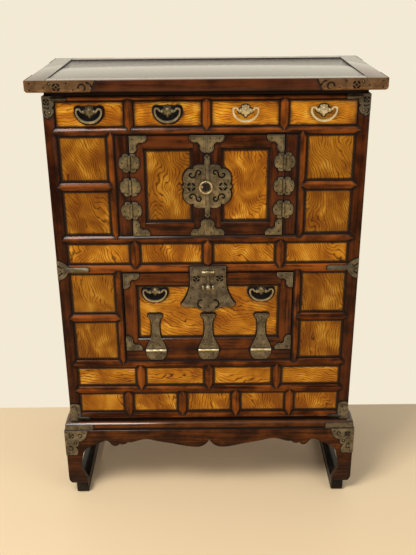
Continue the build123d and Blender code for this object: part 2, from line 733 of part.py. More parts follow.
# Round lock plate, half on each door; the strip on the left half laps the right door.
lobe_x = LOCK_RADIUS - 2 * LOCK_LOBE_R
half_lock = Pos(LOCK_SIDE_R / 2, 0) * Rectangle(LOCK_SIDE_R, 2 * (LOCK_RADIUS - LOCK_LOBE_R))
for sign in (-1, 1):
    half_lock += Pos(lobe_x, sign * (LOCK_RADIUS - LOCK_LOBE_R)) * Circle(LOCK_LOBE_R)
    half_lock += Pos(LOCK_SIDE_X, sign * LOCK_SIDE_UP) * Circle(LOCK_SIDE_R)
half_lock += Polygon((0, -LOCK_LOBE_R), (LOCK_TIP_X, 0), (0, LOCK_LOBE_R), align=None)
half_lock = right_half(half_lock) - coin(COIN_X, 0, COIN_R)


def knob(x):
    """Small round pull on the lock plate."""
    return rod((x, FACE - PLATE_T, 0), (x, FACE - PLATE_T - KNOB_H, 0), KNOB_R)


seam_clear = STRIP_HALF_W + BRASS_GAP
right_lock = half_lock - Rectangle(2 * seam_clear, 4 * LOCK_RADIUS)
right_lock = from_front(right_lock, FACE, PLATE_T) + knob(RIGHT_KNOB_X)

strip = Rectangle(2 * STRIP_HALF_W, 2 * (STRIP_HALF_L - SPEAR_H))
for sign in (-1, 1):
    neck_z = sign * (STRIP_HALF_L - SPEAR_H)
    spear = [(-SPEAR_W, neck_z), (0, sign * STRIP_HALF_L)]
    spear += [(SPEAR_W, neck_z), (0, neck_z - sign * SPEAR_H)]
    strip += make_face(Polyline(*spear, close=True))
left_half = mirror(half_lock, about=Plane.YZ) - Rectangle(LEAF_GAP, 4 * LOCK_RADIUS)
left_lock = from_front(left_half, FACE, PLATE_T) + from_front(strip, FACE - BRASS_GAP, PLATE_T)
plate_front = FACE - PLATE_T - BRASS_GAP
left_lock += knob(LEFT_KNOB_X)

# The ring hangs in an eye above its middle.
EYE_R = RING_WIRE_R + BRASS_GAP + EYE_WIRE_R
ring_y = plate_front - RING_STANDOFF
eye = (RING_X, ring_y, RING_R)
left_lock += rod((RING_X, plate_front, RING_R), (RING_X, ring_y + EYE_R, RING_R), EYE_WIRE_R)
left_lock += Pos(*eye) * Rot(0, 90, 0) * Torus(EYE_R, EYE_WIRE_R)
ring = Pos(RING_X, ring_y, 0) * Rot(90, 0, 0) * Torus(RING_R, RING_WIRE_R)
lift = Pos(0, 0, DOOR_MIDDLE)
save("door_left_lock", lift * left_lock)
save("door_right_lock", lift * right_lock)
save("pull_ring", lift * ring)

# ---------------------------------------------------------------- drop flap
flap_half_w = bay_post_x[0] - 2 * LEAF_GAP
flap_z = (sill[1] + LEAF_GAP, lower_tier[1] - LEAF_GAP)
flap_members, flap_panel = framed_leaf(
    (-flap_half_w, flap_half_w), flap_z, FLAP_STILE_W, FLAP_TOP_W, FLAP_BOTTOM_W, ("top",)
)
save("flap_frame", flap_members)
save("flap_panel", flap_panel)

flap_corners = []
for z, sign_z in ((flap_z[0], 1), (flap_z[1], -1)):
    flap_corners += both_sides(corner_plate(flap_half_w, z, -1, sign_z, FLAP_CORNER_ARM))
save("flap_corner_plates", flap_corners)

FLAP_HINGE_Z = sill[1] + LEAF_GAP / 2


def strap(x, fixed):
    """One leaf of a strap hinge: a waisted strap on the flap, or a short leaf on the sill."""
    foot = STRAP_FOOT_W / 2
    if fixed:
        tip = STRAP_LEAF_TIP_W / 2
        swell = (STRAP_LEAF_MID_W / 2, -STRAP_LEAF_H / 2)
        edge = Spline((foot, -LEAF_CUT_R), swell, (tip, -STRAP_LEAF_H))
        outline = [Line((0, 0), (foot, 0)), Line((foot, 0), (foot, -LEAF_CUT_R)), edge]
        outline += [Line((tip, -STRAP_LEAF_H), (0, -STRAP_LEAF_H)), Line((0, -STRAP_LEAF_H), (0, 0))]
    else:
        waist = STRAP_WAIST_W / 2
        head = STRAP_HEAD_W / 2
        shoulder = (head, STRAP_H - STRAP_SHOULDER)
        edge = Spline((foot, LEAF_CUT_R), (waist, STRAP_WAIST_UP), shoulder)
        outline = [Line((0, 0), (foot, 0)), Line((foot, 0), (foot, LEAF_CUT_R)), edge]
        outline += [TangentArc((0, STRAP_H), shoulder, tangent=(1, 0))]
        outline += [Line((0, STRAP_H), (0, 0))]
    half = make_face(outline)
    shape = Pos(x, FLAP_HINGE_Z) * (half + mirror(half, about=Plane.YZ))
    body = from_front(shape, FACE, PLATE_T)
    start = x - foot
    for barrel in knuckles(start, STRAP_FOOT_W, not fixed):
        low, high = widened(barrel, BRASS_GAP)
        body -= rod((low, HINGE_Y, FLAP_HINGE_Z), (high, HINGE_Y, FLAP_HINGE_Z), LEAF_CUT_R)
    for low, high in knuckles(start, STRAP_FOOT_W, fixed):
        body += rod((low, HINGE_Y, FLAP_HINGE_Z), (high, HINGE_Y, FLAP_HINGE_Z), KNUCKLE_R)
    pin = ((start, HINGE_Y, FLAP_HINGE_Z), (x + foot, HINGE_Y, FLAP_HINGE_Z))
    if fixed:
        return body + rod(*pin, KNUCKLE_PIN_R)
    return body - rod(*pin, KNUCKLE_PIN_R + PIN_FIT)


strap_places = [k * STRAP_PITCH for k in (-1, 0, 1)]
save("flap_straps", [strap(x, False) for x in strap_places])
save("sill_strap_leaves", [strap(x, True) for x in strap_places])

# Bell-shaped lock plate on the flap; its head steps forward over the middle rail.
bell_top = lower_tier[1] + BELL_TOP_UP
waist_z = bell_top - BELL_WAIST_DROP
tip_z = bell_top - BELL_TIP_DROP
lobe_z = bell_top - BELL_LOBE_DROP
lobe_side = (BELL_LOBE_HALF_W, bell_top - BELL_LOBE_SIDE_DROP)
hollow_x = (BELL_TIP_X + BELL_LOBE_HALF_W) / 2
hollow = (hollow_x, (tip_z + lobe_side[1]) / 2 + BELL_HOLLOW)
bell_edge = [
    Line((0, bell_top), (BELL_HALF_W, bell_top)),
    Line((BELL_HALF_W, bell_top), (BELL_HALF_W, waist_z)),
    TangentArc((BELL_HALF_W, waist_z), (BELL_TIP_X, tip_z), tangent=(0, -1)),
    ThreePointArc((BELL_TIP_X, tip_z), hollow, lobe_side),
    TangentArc((0, lobe_z), lobe_side, tangent=(1, 0)),
    Line((0, lobe_z), (0, bell_top)),
]
bell_half = make_face(bell_edge)
bell = bell_half + mirror(bell_half, about=Plane.YZ)
step_z = (flap_z[1] - BELL_STEP_DROP - BELL_STEP_H, flap_z[1] - BELL_STEP_DROP)


def band(z):
    """The part of the bell plate's outline between two heights."""
    return bell & (Pos(0, middle_of(z)) * Rectangle(TOP_W, z[1] - z[0]))


head_y = FRONT - BRASS_GAP
flap_lock = from_front(band((lobe_z, step_z[1])), FACE, PLATE_T)
flap_lock += from_front(band(step_z), FACE, FACE - head_y + PLATE_T)
flap_lock += from_front(band((step_z[1], bell_top)), head_y, PLATE_T)

pin_z = bell_top - HASP_PIN_DROP
pin_y = head_y - PLATE_T - HASP_PIN_R - BRASS_GAP - EYE_WIRE_R
pin_ends = ((-HASP_PIN_HALF_L, pin_y, pin_z), (HASP_PIN_HALF_L, pin_y, pin_z))
flap_lock += rod(*pin_ends, HASP_PIN_R)
neck_half = HASP_NECK_W / 2
for sign in (-1, 1):
    ear_x = sorted((sign * (neck_half + BRASS_GAP), sign * (neck_half + BRASS_GAP + EYE_POST_R)))
    ear_z = widened((pin_z, pin_z), HASP_PIN_R + EYE_WIRE_R)
    flap_lock += board(ear_x, (pin_y - HASP_PIN_R - EYE_WIRE_R, head_y - PLATE_T), ear_z)
save("flap_lock_plate", flap_lock)

# Hasp: a neck that turns on the pin, and a cross barrel with a ball.
HASP_EYE_R = HASP_PIN_R + EYE_WIRE_R
barrel_z = pin_z - HASP_DROP
hasp = rod((-neck_half, pin_y, pin_z), (neck_half, pin_y, pin_z), HASP_EYE_R)
neck_y = (pin_y - HASP_NECK_T / 2, pin_y + HASP_NECK_T / 2)
hasp += board((-neck_half, neck_half), neck_y, (barrel_z, pin_z))
hasp -= rod(*pin_ends, HASP_PIN_R + PIN_FIT)
barrel_ends = ((-HASP_BARREL_HALF_L, pin_y, barrel_z), (HASP_BARREL_HALF_L, pin_y, barrel_z))
hasp += rod(*barrel_ends, HASP_BARREL_R)
hasp += Pos(0, pin_y, barrel_z) * Sphere(HASP_BALL_R)
save("hasp", hasp)

flap_handle_z = flap_z[0] + FLAP_HANDLE_UP + PIVOT_UP
panel_face = FACE + LEAF_PANEL_SET
left_plate, left_bail = place_handle(
    -FLAP_HANDLE_X, flap_handle_z, panel_face, FLAP_CRESCENT_EXTRA, True
)
right_plate, right_bail = place_handle(
    FLAP_HANDLE_X, flap_handle_z, panel_face, FLAP_CRESCENT_EXTRA, True
)
save("flap_handle_plates", left_plate, right_plate)
save("flap_bail_left", left_bail)
save("flap_bail_right", right_bail)

# ---------------------------------------------------------------- brackets on the carcass
# Each bracket follows the moulding below it: a copy of the frame moved forward, less the frame.
frame_face = front_posts + front_rails


def cladding(outline):
    """Sheet brass over the front frame within an (x, z) outline."""
    region = from_front(outline, FRONT + MOULD, MOULD + 2 * BRACKET_T)
    carrier = [member & region for member in frame_face]
    carrier = [piece for piece in carrier if piece is not None and solids_of(piece)]
    sheets = [(Pos(0, -BRACKET_T, 0) * piece) - frame_face for piece in carrier]
    return sheets[0] + sheets[1:]


def post_plate(edge, arm_level):
    """The part of a bracket that lies on the corner post, on one side of its arm."""
    curves = [[(SIDE - inset, arm_level + height) for inset, height in curve] for curve in edge]
    outline = [Line((SIDE, arm_level), (INNER, arm_level)), Line((INNER, arm_level), curves[0][0])]
    outline += [Spline(*curve) for curve in curves]
    outline += [Line(curves[-1][-1], (SIDE, arm_level))]
    return make_face(outline)


def bracket(arm_level, arm_reach, *edges):
    """Lobed plates on a corner post with one round-ended arm along a rail."""
    arm_end = SIDE - arm_reach + BRACKET_ARM_H / 2
    shape = Pos((SIDE + arm_end) / 2, arm_level) * Rectangle(SIDE - arm_end, BRACKET_ARM_H)
    shape += Pos(arm_end, arm_level) * Circle(BRACKET_ARM_H / 2)
    for edge in edges:
        shape += post_plate(edge, arm_level)
    return shape


waist_below = [[(inset, -height) for inset, height in curve] for curve in WAIST_BRACKET_EDGE]
bracket_shapes = [
    bracket(top_rail[1] - BRACKET_ARM_H / 2, TOP_BRACKET_ARM, TOP_BRACKET_EDGE),
    bracket(middle_of(middle_rail), WAIST_BRACKET_ARM, WAIST_BRACKET_EDGE, waist_below),
    bracket(base_rail[0] + BRACKET_ARM_H / 2, BASE_BRACKET_ARM, BASE_BRACKET_EDGE),
]
save("frame_brackets", [both_sides(cladding(shape)) for shape in bracket_shapes])

# ---------------------------------------------------------------- stand
stand_x = SIDE + STAND_SIDE_STEP
stand_front = FRONT - STAND_FRONT_STEP
stand_back = BACK + STAND_BACK_STEP
stand_mid_y = (stand_front + stand_back) / 2
stand_half_d = (stand_back - stand_front) / 2

moulding_half_w = stand_x - MOULDING_INSET
moulding_half_d = stand_half_d - MOULDING_INSET
moulding_y = (stand_mid_y - moulding_half_d, stand_mid_y + moulding_half_d)
moulding_block = board((-moulding_half_w, moulding_half_w), moulding_y, moulding)
moulding_block = chamfer(moulding_block.faces().sort_by(Axis.Z)[-1].edges(), MOULDING_BEVEL)


def corners_at(inset):
    """The moulding's four corners, moved in from its outer edge."""
    half_w = moulding_half_w - inset
    half_d = moulding_half_d - inset
    return [
        (-half_w, stand_mid_y - half_d),
        (half_w, stand_mid_y - half_d),
        (half_w, stand_mid_y + half_d),
        (-half_w, stand_mid_y + half_d),
    ]


outer = corners_at(0)
inner = corners_at(MOULDING_W)
mitred = []
for i in range(4):
    plan = [outer[i - 1], outer[i], inner[i], inner[i - 1]]
    mitred.append(moulding_block & along_z(plan, moulding))
save("stand_moulding", mitred)

# Front apron: legs, bracket curves, small lobes, a low middle and an ogee notch at its centre.

def from_leg(points):
    """Points given as (distance in from the stand's side, drop below its top)."""
    return [(stand_x - inset, STAND_TOP - drop) for inset, drop in points]


def from_middle(points):
    """Points given as (distance from the middle, drop below the stand's top)."""
    return [(x, STAND_TOP - drop) for x, drop in points]


def apron_half():
    """Right half of the scalloped apron, as an (x, z) outline."""
    heel = [(stand_x - inset, RUNNER_H + up) for inset, up in HEEL_CURVE]
    toe = (stand_x - LEG_FOOT_W, RUNNER_H)
    leg = from_leg(LEG_CURVE)
    middle = from_middle(MIDDLE_CURVE)
    edge = [Line((0, STAND_TOP), (stand_x, STAND_TOP)), Line((stand_x, STAND_TOP), heel[0])]
    edge += [Spline(*heel), Line(heel[-1], toe), Spline(toe, *leg)]
    start = leg[-1]
    for lobe in LOBES:
        points = from_leg(lobe)
        edge.append(Spline(start, *points))
        start = points[-1]
    edge += [Spline(start, *middle)]
    notch = from_middle(NOTCH_CURVE)
    edge += [Spline(middle[-1], *notch), Line(notch[-1], (0, STAND_TOP))]
    return make_face(edge)


half_apron = apron_half()
apron_shape = half_apron + mirror(half_apron, about=Plane.YZ)
front_apron = from_front(apron_shape, stand_front + APRON_T, APRON_T)
back_apron = from_front(apron_shape, stand_back, APRON_T)
save("stand_front_apron", front_apron)
save("stand_back_apron", back_apron)

side_y = (stand_front + APRON_T, stand_back - APRON_T)
arch_y = (side_y[0] + SIDE_LEG_W - APRON_T, side_y[1] - SIDE_LEG_W + APRON_T)
arch_z = (RUNNER_H - SIDE_ARCH_ROUND, RUNNER_H + SIDE_ARCH_UP)
side_shape = Rectangle(side_y[1] - side_y[0], APRON_H)
side_shape = Pos(middle_of(side_y), RUNNER_H + APRON_H / 2) * side_shape
arch = Rectangle(arch_y[1] - arch_y[0], arch_z[1] - arch_z[0])
arch = Pos(middle_of(arch_y), middle_of(arch_z)) * arch
arch = fillet(arch.vertices().group_by(Axis.Y)[-1], SIDE_ARCH_ROUND)
side_apron = from_side(side_shape - arch, stand_x - APRON_T, APRON_T)
save("stand_side_aprons", both_sides(side_apron))

runner_x = (stand_x - RUNNER_INSET - RUNNER_W, stand_x - RUNNER_INSET)
runner = board(runner_x, (stand_front, stand_back), (0, RUNNER_H))
runner = fillet(runner.edges().filter_by(Axis.X).group_by(Axis.Z)[0], RUNNER_ROUND)
save("runners", both_sides(runner))

# Brass on the stand: plates over the leg corners and caps on the moulding's corners.
plate_x = stand_x - FOOT_PLATE_W
plate_low = STAND_TOP - FOOT_PLATE_H
lobes = [[(stand_x - inset, plate_low + up) for inset, up in lobe] for lobe in FOOT_PLATE_LOBES]
foot_outline = [
    Line((plate_x, STAND_TOP), (stand_x, STAND_TOP)),
    Line((stand_x, STAND_TOP), (stand_x, plate_low)),
    Line((stand_x, plate_low), lobes[0][0]),
]
foot_outline += [Spline(*lobe) for lobe in lobes]
foot_plate = from_front(make_face(foot_outline), stand_front, BRACKET_T)
foot_wing_y = (stand_front - BRACKET_T, stand_front + FOOT_WING_W)
foot_wing = board((stand_x, stand_x + BRACKET_T), foot_wing_y, (plate_low, STAND_TOP))
cap_x = (moulding_half_w - MOULDING_CAP_W, moulding_half_w + BRACKET_T)
moulding_cap_z = (moulding[0], moulding[1] - MOULDING_BEVEL)
moulding_cap = board(cap_x, (moulding_y[0] - BRACKET_T, moulding_y[0]), moulding_cap_z)
moulding_cap += board(
    (moulding_half_w, moulding_half_w + BRACKET_T),
    (moulding_y[0] - BRACKET_T, moulding_y[0] + MOULDING_CAP_WING),
    moulding_cap_z,
)
save("stand_brass", both_sides(foot_plate + foot_wing), both_sides(moulding_cap))
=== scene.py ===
import math
import random

import bpy
from mathutils import Matrix, Vector


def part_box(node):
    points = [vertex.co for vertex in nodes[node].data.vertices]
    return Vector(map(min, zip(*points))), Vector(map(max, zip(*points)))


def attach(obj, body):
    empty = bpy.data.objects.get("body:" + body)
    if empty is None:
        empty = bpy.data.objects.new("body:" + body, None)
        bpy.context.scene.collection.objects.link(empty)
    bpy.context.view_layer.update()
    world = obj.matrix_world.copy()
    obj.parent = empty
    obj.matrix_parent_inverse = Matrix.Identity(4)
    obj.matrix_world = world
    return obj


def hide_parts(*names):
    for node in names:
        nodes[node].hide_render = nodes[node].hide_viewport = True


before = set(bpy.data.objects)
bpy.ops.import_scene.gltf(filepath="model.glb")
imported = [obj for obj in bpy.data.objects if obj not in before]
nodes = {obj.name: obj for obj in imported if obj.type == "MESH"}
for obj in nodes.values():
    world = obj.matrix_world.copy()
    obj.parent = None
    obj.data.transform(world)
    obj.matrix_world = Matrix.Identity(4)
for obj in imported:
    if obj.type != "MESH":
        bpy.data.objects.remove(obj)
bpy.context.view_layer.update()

MM = 0.001

# ------------------------------------------------------------------ the room
# A pale floor that ends where the wall would stand, a cream wall and ceiling, one broad window
# light from the upper left, a weak fill from the right, and a plain even room light.
FLOOR_COLOUR = (0.98, 0.75, 0.46, 1.0)
WALL_COLOUR = (0.90, 0.82, 0.66, 1.0)
DIM_ROOM_COLOUR = (0.05, 0.042, 0.036, 1.0)
ROOM_LIGHT_COLOUR = (0.97, 0.98, 1.0, 1.0)
ROOM_LIGHT_STRENGTH = 0.42
WALL_Y = 0.236

bpy.ops.object.select_all(action="DESELECT")
bpy.ops.mesh.primitive_plane_add(size=1, location=(0, WALL_Y - 3, 0))
floor = bpy.context.object
floor.name = "floor"
floor.scale = (12, 6, 1)
bpy.ops.object.transform_apply(scale=True)
floor_paint = bpy.data.materials.new("pale_floor")
floor_paint.use_nodes = True
floor_surface = floor_paint.node_tree.nodes["Principled BSDF"]
floor_surface.inputs["Base Color"].default_value = FLOOR_COLOUR
floor_surface.inputs["Roughness"].default_value = 0.55
floor.data.materials.append(floor_paint)

room = bpy.data.worlds.new("room")
bpy.context.scene.world = room
room.use_nodes = True
room_nodes = room.node_tree.nodes
room_links = room.node_tree.links


def room_node(kind, inputs, operation=None):
    """A node of the room's light; each input is linked to a socket or set to a value."""
    made = room_nodes.new(kind)
    if operation:
        made.operation = operation
    for key, value in inputs.items():
        if isinstance(value, bpy.types.NodeSocket):
            room_links.new(value, made.inputs[key])
        else:
            made.inputs[key].default_value = value
    return made.outputs[0]


def larger(first, second):
    """The larger of two sockets."""
    return room_node("ShaderNodeMath", {0: first, 1: second}, "MAXIMUM")


# The pale wall and ceiling are what the eye and reflections see; all else gets the room light.
room_light = room_nodes["Background"]
room_light.inputs["Color"].default_value = ROOM_LIGHT_COLOUR
room_light.inputs["Strength"].default_value = ROOM_LIGHT_STRENGTH
pale_room = room_node("ShaderNodeBackground", {"Color": WALL_COLOUR, "Strength": 1.0})
dim_room = room_node("ShaderNodeBackground", {"Color": DIM_ROOM_COLOUR})
ray = room_nodes.new("ShaderNodeLightPath")
by_eye = ray.outputs["Is Camera Ray"]
toward = room_nodes.new("ShaderNodeTexCoord")
heading = room_nodes.new("ShaderNodeSeparateXYZ")
room_links.new(toward.outputs["Generated"], heading.inputs[0])
back, up = heading.outputs["Y"], heading.outputs["Z"]
wall_side = room_node("ShaderNodeMapRange", {"Value": back, "From Min": -0.25, "From Max": 0.1})
ceiling = room_node("ShaderNodeMapRange", {"Value": up, "From Min": 0.6, "From Max": 0.9})
pale = larger(larger(wall_side, ceiling), by_eye)
seen = larger(by_eye, ray.outputs["Is Glossy Ray"])
reflected = room_node("ShaderNodeMixShader", {0: pale, 1: dim_room, 2: pale_room})
shown = room_node("ShaderNodeMixShader", {0: seen, 1: room_light.outputs[0], 2: reflected})
room_links.new(shown, room_nodes["World Output"].inputs["Surface"])


def lamp(name, place, aim, width, power, colour):
    """A square soft lamp aimed at a point."""
    light = bpy.data.lights.new(name, "AREA")
    light.shape = "SQUARE"
    light.size = width
    light.energy = power
    light.color = colour
    holder = bpy.data.objects.new(name, light)
    bpy.context.scene.collection.objects.link(holder)
    holder.location = place
    holder.rotation_euler = (Vector(aim) - Vector(place)).to_track_quat("-Z", "Y").to_euler()


LAMP_AIM = (0, 0, 0.6)
lamp("window", (-1.3, -1.5, 2.9), LAMP_AIM, width=1.1, power=67, colour=(1.0, 0.98, 0.95))
lamp("fill", (2.2, -2.2, 1.7), LAMP_AIM, width=1.8, power=16, colour=(1.0, 0.97, 0.93))

bpy.context.scene.view_settings.view_transform = "Standard"

# ------------------------------------------------------------------ the camera
# An eye well above the chest and straight before it, looking down at its front. The picture is
# taller than it is wide.
FOCAL_PIXELS = 756.713
FRAME_LONG_PIXELS = 555
EYE = Vector((-2.24, -1872.36, 1352.33)) * MM
PITCH = 0.402267
YAW = 0.001324
ROLL = 0.008812

forward = Vector((math.sin(YAW) * math.cos(PITCH), math.cos(YAW) * math.cos(PITCH), -math.sin(PITCH)))
level_right = Vector((math.cos(YAW), -math.sin(YAW), 0))
level_down = forward.cross(level_right)
right = math.cos(ROLL) * level_right + math.sin(ROLL) * level_down
down = -math.sin(ROLL) * level_right + math.cos(ROLL) * level_down
camera_data = bpy.data.cameras.new("eye")
camera_data.sensor_fit = "AUTO"
camera_data.lens = FOCAL_PIXELS * camera_data.sensor_width / FRAME_LONG_PIXELS
camera = bpy.data.objects.new("eye", camera_data)
bpy.context.scene.collection.objects.link(camera)
turn = Matrix((right, -down, -forward)).transposed().to_4x4()
camera.matrix_world = Matrix.Translation(EYE) @ turn
bpy.context.scene.camera = camera

# ------------------------------------------------------------------ carcass frame
# Posts, rails and dividers of dark red-brown lacquered softwood, tenoned together. Every board
# keeps its own grain, which runs along its length.
EDGE_SOFTENING = 0.7 * MM
WOOD_SHEEN = 0.09
# Near-black of old wax and of painted shade, laid in corners and beside fittings by ambient occlusion;
# it also darkens panel borders and the stand's feet.
WAX_AND_SHADE = (0.010, 0.007, 0.006)
SHADE_AND_WAX_REACH = 8 * MM
SHADE_AND_WAX_EASE = 0.045
SHADE_AND_WAX_RAYS = 24
FOOT_H = 0.17


class Value:
    """A socket of a finish; sums written on it add Math nodes."""

    def __init__(self, finish, socket):
        self.finish = finish
        self.socket = socket

    def sum(self, operation, first, second=0.0):
        return self.finish.node("ShaderNodeMath", {"operation": operation}, {0: first, 1: second})

    def __add__(self, other):
        return self.sum("ADD", self, other)

    def __sub__(self, other):
        return self.sum("SUBTRACT", self, other)

    def __rsub__(self, other):
        return self.sum("SUBTRACT", other, self)

    def __mul__(self, other):
        return self.sum("MULTIPLY", self, other)

    def __truediv__(self, other):
        return self.sum("DIVIDE", self, other)

    def __pow__(self, other):
        return self.sum("POWER", self, other)

    __radd__ = __add__

    def least(self, other):
        return self.sum("MINIMUM", self, other)

    def most(self, other):
        return self.sum("MAXIMUM", self, other)

    def fraction(self):
        return self.sum("FRACT", self)

    def eased(self, low, high):
        """0 below low, 1 above high, smooth between."""
        return self.finish.node(
            "ShaderNodeMapRange",
            {"interpolation_type": "SMOOTHSTEP"},
            {"Value": self, "From Min": low, "From Max": high},
        )


class Finish:
    """A material under construction."""

    def __init__(self, name, roughness, metallic=0.0, coat=0.0, coat_roughness=0.1):
        self.material = bpy.data.materials.new(name)
        self.material.use_nodes = True
        self.tree = self.material.node_tree
        self.surface = self.tree.nodes["Principled BSDF"]
        self.surface.inputs["Roughness"].default_value = roughness
        self.surface.inputs["Metallic"].default_value = metallic
        self.surface.inputs["Coat Weight"].default_value = coat
        self.surface.inputs["Coat Roughness"].default_value = coat_roughness
        self.surface.inputs["Specular IOR Level"].default_value = 0.5 if metallic else WOOD_SHEEN

    def node(self, kind, settings, inputs, output=0):
        made = self.tree.nodes.new(kind)
        for key, value in settings.items():
            if key == "stops":
                ramp = made.color_ramp
                while len(ramp.elements) < len(value):
                    ramp.elements.new(1.0)
                for element, (place, colour) in zip(ramp.elements, value):
                    element.position = place
                    element.color = (*colour, 1.0)
            else:
                setattr(made, key, value)
        for key, value in inputs.items():
            if isinstance(value, Value):
                self.tree.links.new(value.socket, made.inputs[key])
            else:
                made.inputs[key].default_value = value
        return Value(self, made.outputs[output])

    def uv(self, name):
        return self.node("ShaderNodeUVMap", {"uv_map": name}, {})

    def place(self):
        return self.node("ShaderNodeTexCoord", {}, {}, "Object")

    def stretched(self, vector, scale):
        return self.node("ShaderNodeMapping", {}, {"Vector": vector, "Scale": scale})

    def parts(self, vector):
        """The three numbers of a vector."""
        split = self.tree.nodes.new("ShaderNodeSeparateXYZ")
        self.tree.links.new(vector.socket, split.inputs[0])
        return [Value(self, output) for output in split.outputs]

    def noise(self, vector, scale, detail=2.0, roughness=0.5, distortion=0.0):
        inputs = {"Vector": vector, "Scale": scale, "Detail": detail}
        inputs.update({"Roughness": roughness, "Distortion": distortion})
        return self.node("ShaderNodeTexNoise", {}, inputs)

    def ramp(self, value, stops):
        return self.node("ShaderNodeValToRGB", {"stops": stops}, {"Fac": value})

    def mix(self, first, second, factor, blend="MIX"):
        """Two colours mixed by a factor."""
        colours = {0: factor, 6: first, 7: second}
        colours = {k: (*v, 1.0) if isinstance(v, tuple) else v for k, v in colours.items()}
        return self.node("ShaderNodeMix", {"data_type": "RGBA", "blend_type": blend}, colours, 2)

    def tone(self, name="tone"):
        """A number that each board carries."""
        return self.node("ShaderNodeAttribute", {"attribute_name": name}, {}, 2)

    def shade_and_grime(self, reach, thick, rays=8):
        """0 in the open, 1 in corners and beside fittings: painted shade from ambient occlusion, with
        what has built up there.
        """
        open_sky = self.node("ShaderNodeAmbientOcclusion", {"samples": rays}, {"Distance": reach}, 1)
        return (1 - open_sky).eased(0.0, thick)

    def bumped(self, height, strength, distance):
        inputs = {"Height": height, "Strength": strength, "Distance": distance}
        self.feed("Normal", self.node("ShaderNodeBump", {}, inputs))

    def feed(self, name, value):
        self.tree.links.new(value.socket, self.surface.inputs[name])


def lacquered_wood(name, dark, light, coat=0.12, sheen=WOOD_SHEEN, shade_and_wax_amount=0.92, gloss=1.5, foot=0.0):
    """Close-grained wood under brown lacquer, polished most on faces that look up."""
    finish = Finish(name, 0.3, coat_roughness=0.13)
    finish.surface.inputs["Specular IOR Level"].default_value = sheen
    finish.surface.inputs["Coat IOR"].default_value = gloss
    if coat:
        finish.feed("Coat Weight", finish.tone("upward") * coat + 0.04)
    grain = finish.uv("grain")
    bands = finish.noise(finish.stretched(grain, (6, 130, 1)), 1.0, 4.0, 0.6, 0.4)
    fibres = finish.noise(finish.stretched(grain, (30, 900, 1)), 1.0, 3.0, 0.6)
    clouds = finish.noise(grain, 16.0, 3.0, 0.6)
    depth = (bands - 0.5) * 1.7 + (fibres - 0.5) * 0.5 + (clouds - 0.5) * 1.7
    depth = depth + finish.tone() * 0.4 + 0.45
    colour = finish.mix(dark, light, depth.eased(0.0, 1.0))
    # Painted shade from ambient occlusion, standing also for old wax, darkens corners and the wood
    # beside fittings.
    shade_and_wax = finish.shade_and_grime(SHADE_AND_WAX_REACH, SHADE_AND_WAX_EASE, SHADE_AND_WAX_RAYS)
    colour = finish.mix(colour, WAX_AND_SHADE, shade_and_wax * shade_and_wax_amount)
    # Darker towards the floor.
    if foot:
        height = finish.parts(finish.place())[2]
        colour = finish.mix(colour, WAX_AND_SHADE, (1 - height.eased(0.0, FOOT_H)) * foot)
    finish.feed("Base Color", colour)
    finish.feed("Roughness", 0.24 + clouds * 0.14 + shade_and_wax * 0.3)
    finish.bumped(fibres * 0.6 + bands, 0.15, 0.4 * MM)
    return finish.material


def open_copy(node, kept=None):
    """A merged copy of a CAD node, or of its kept faces, with flat faces whole again."""
    bpy.ops.object.select_all(action="DESELECT")
    copy = bpy.data.objects.new(node + "_copy", nodes[node].data.copy())
    bpy.context.scene.collection.objects.link(copy)
    copy.data.materials.clear()
    copy.select_set(True)
    bpy.context.view_layer.objects.active = copy
    bpy.ops.object.mode_set(mode="EDIT")
    bpy.ops.mesh.select_mode(type="FACE")
    if kept is not None:
        bpy.ops.mesh.select_all(action="DESELECT")
        bpy.ops.object.mode_set(mode="OBJECT")
        for face in copy.data.polygons:
            face.select = face.index not in kept
        bpy.ops.object.mode_set(mode="EDIT")
        bpy.ops.mesh.delete(type="FACE")
    bpy.ops.mesh.select_all(action="SELECT")
    bpy.ops.mesh.remove_doubles(threshold=0.00001)
    bpy.ops.mesh.dissolve_limited(angle_limit=math.radians(1))
    bpy.ops.object.mode_set(mode="OBJECT")
    return copy


def skins_of(mesh):
    """Sets of face numbers, one for each closed skin; a node lists one solid after another."""
    places = [tuple(round(c, 6) for c in vertex.co) for vertex in mesh.vertices]
    skins, skin, unpaired = [], set(), set()
    for face in mesh.polygons:
        skin.add(face.index)
        corners = [places[i] for i in face.vertices]
        for start, end in zip(corners, corners[1:] + corners[:1]):
            if (end, start) in unpaired:
                unpaired.remove((end, start))
            else:
                unpaired.add((start, end))
        if not unpaired:
            skins.append(skin)
            skin = set()
    return skins + [skin] if skin else skins


def boards_of(node):
    """The boards of a CAD node, each as its own object, also where they touch."""
    boards = [open_copy(node, skin) for skin in skins_of(nodes[node].data)]
    return sorted(boards, key=lambda board: tuple(round(c, 4) for c in middle_of(board)))


def span_of(board):
    """Lowest and highest corner of an object's mesh."""
    points = [vertex.co for vertex in board.data.vertices]
    low = Vector([min(p[i] for p in points) for i in range(3)])
    high = Vector([max(p[i] for p in points) for i in range(3)])
    return low, high


def middle_of(board):
    low, high = span_of(board)
    return (low + high) / 2


def lay_grain(board, rng, turn=None):
    """UV map in metres along and across a board, shifted so that no two boards match."""
    low, high = span_of(board)
    sizes = high - low
    order = sorted(range(3), key=lambda i: -sizes[i])
    along, across, through = order
    shift = (rng.uniform(0, 9), rng.uniform(0, 9))
    slant = rng.uniform(-0.02, 0.02) if turn is None else turn
    cos, sin = math.cos(slant), math.sin(slant)
    layer = board.data.uv_layers.new(name="grain")
    for loop in board.data.loops:
        point = board.data.vertices[loop.vertex_index].co
        u = point[along]
        v = point[across] + point[through]
        layer.data[loop.index].uv = (cos * u - sin * v + shift[0], sin * u + cos * v + shift[1])
    tone = board.data.attributes.new("tone", "FLOAT", "FACE")
    amount = rng.uniform(-0.5, 0.5)
    tone.data.foreach_set("value", [amount] * len(board.data.polygons))
    upward = board.data.attributes.new("upward", "FLOAT", "FACE")
    upward.data.foreach_set("value", [max(0.0, face.normal.z) for face in board.data.polygons])


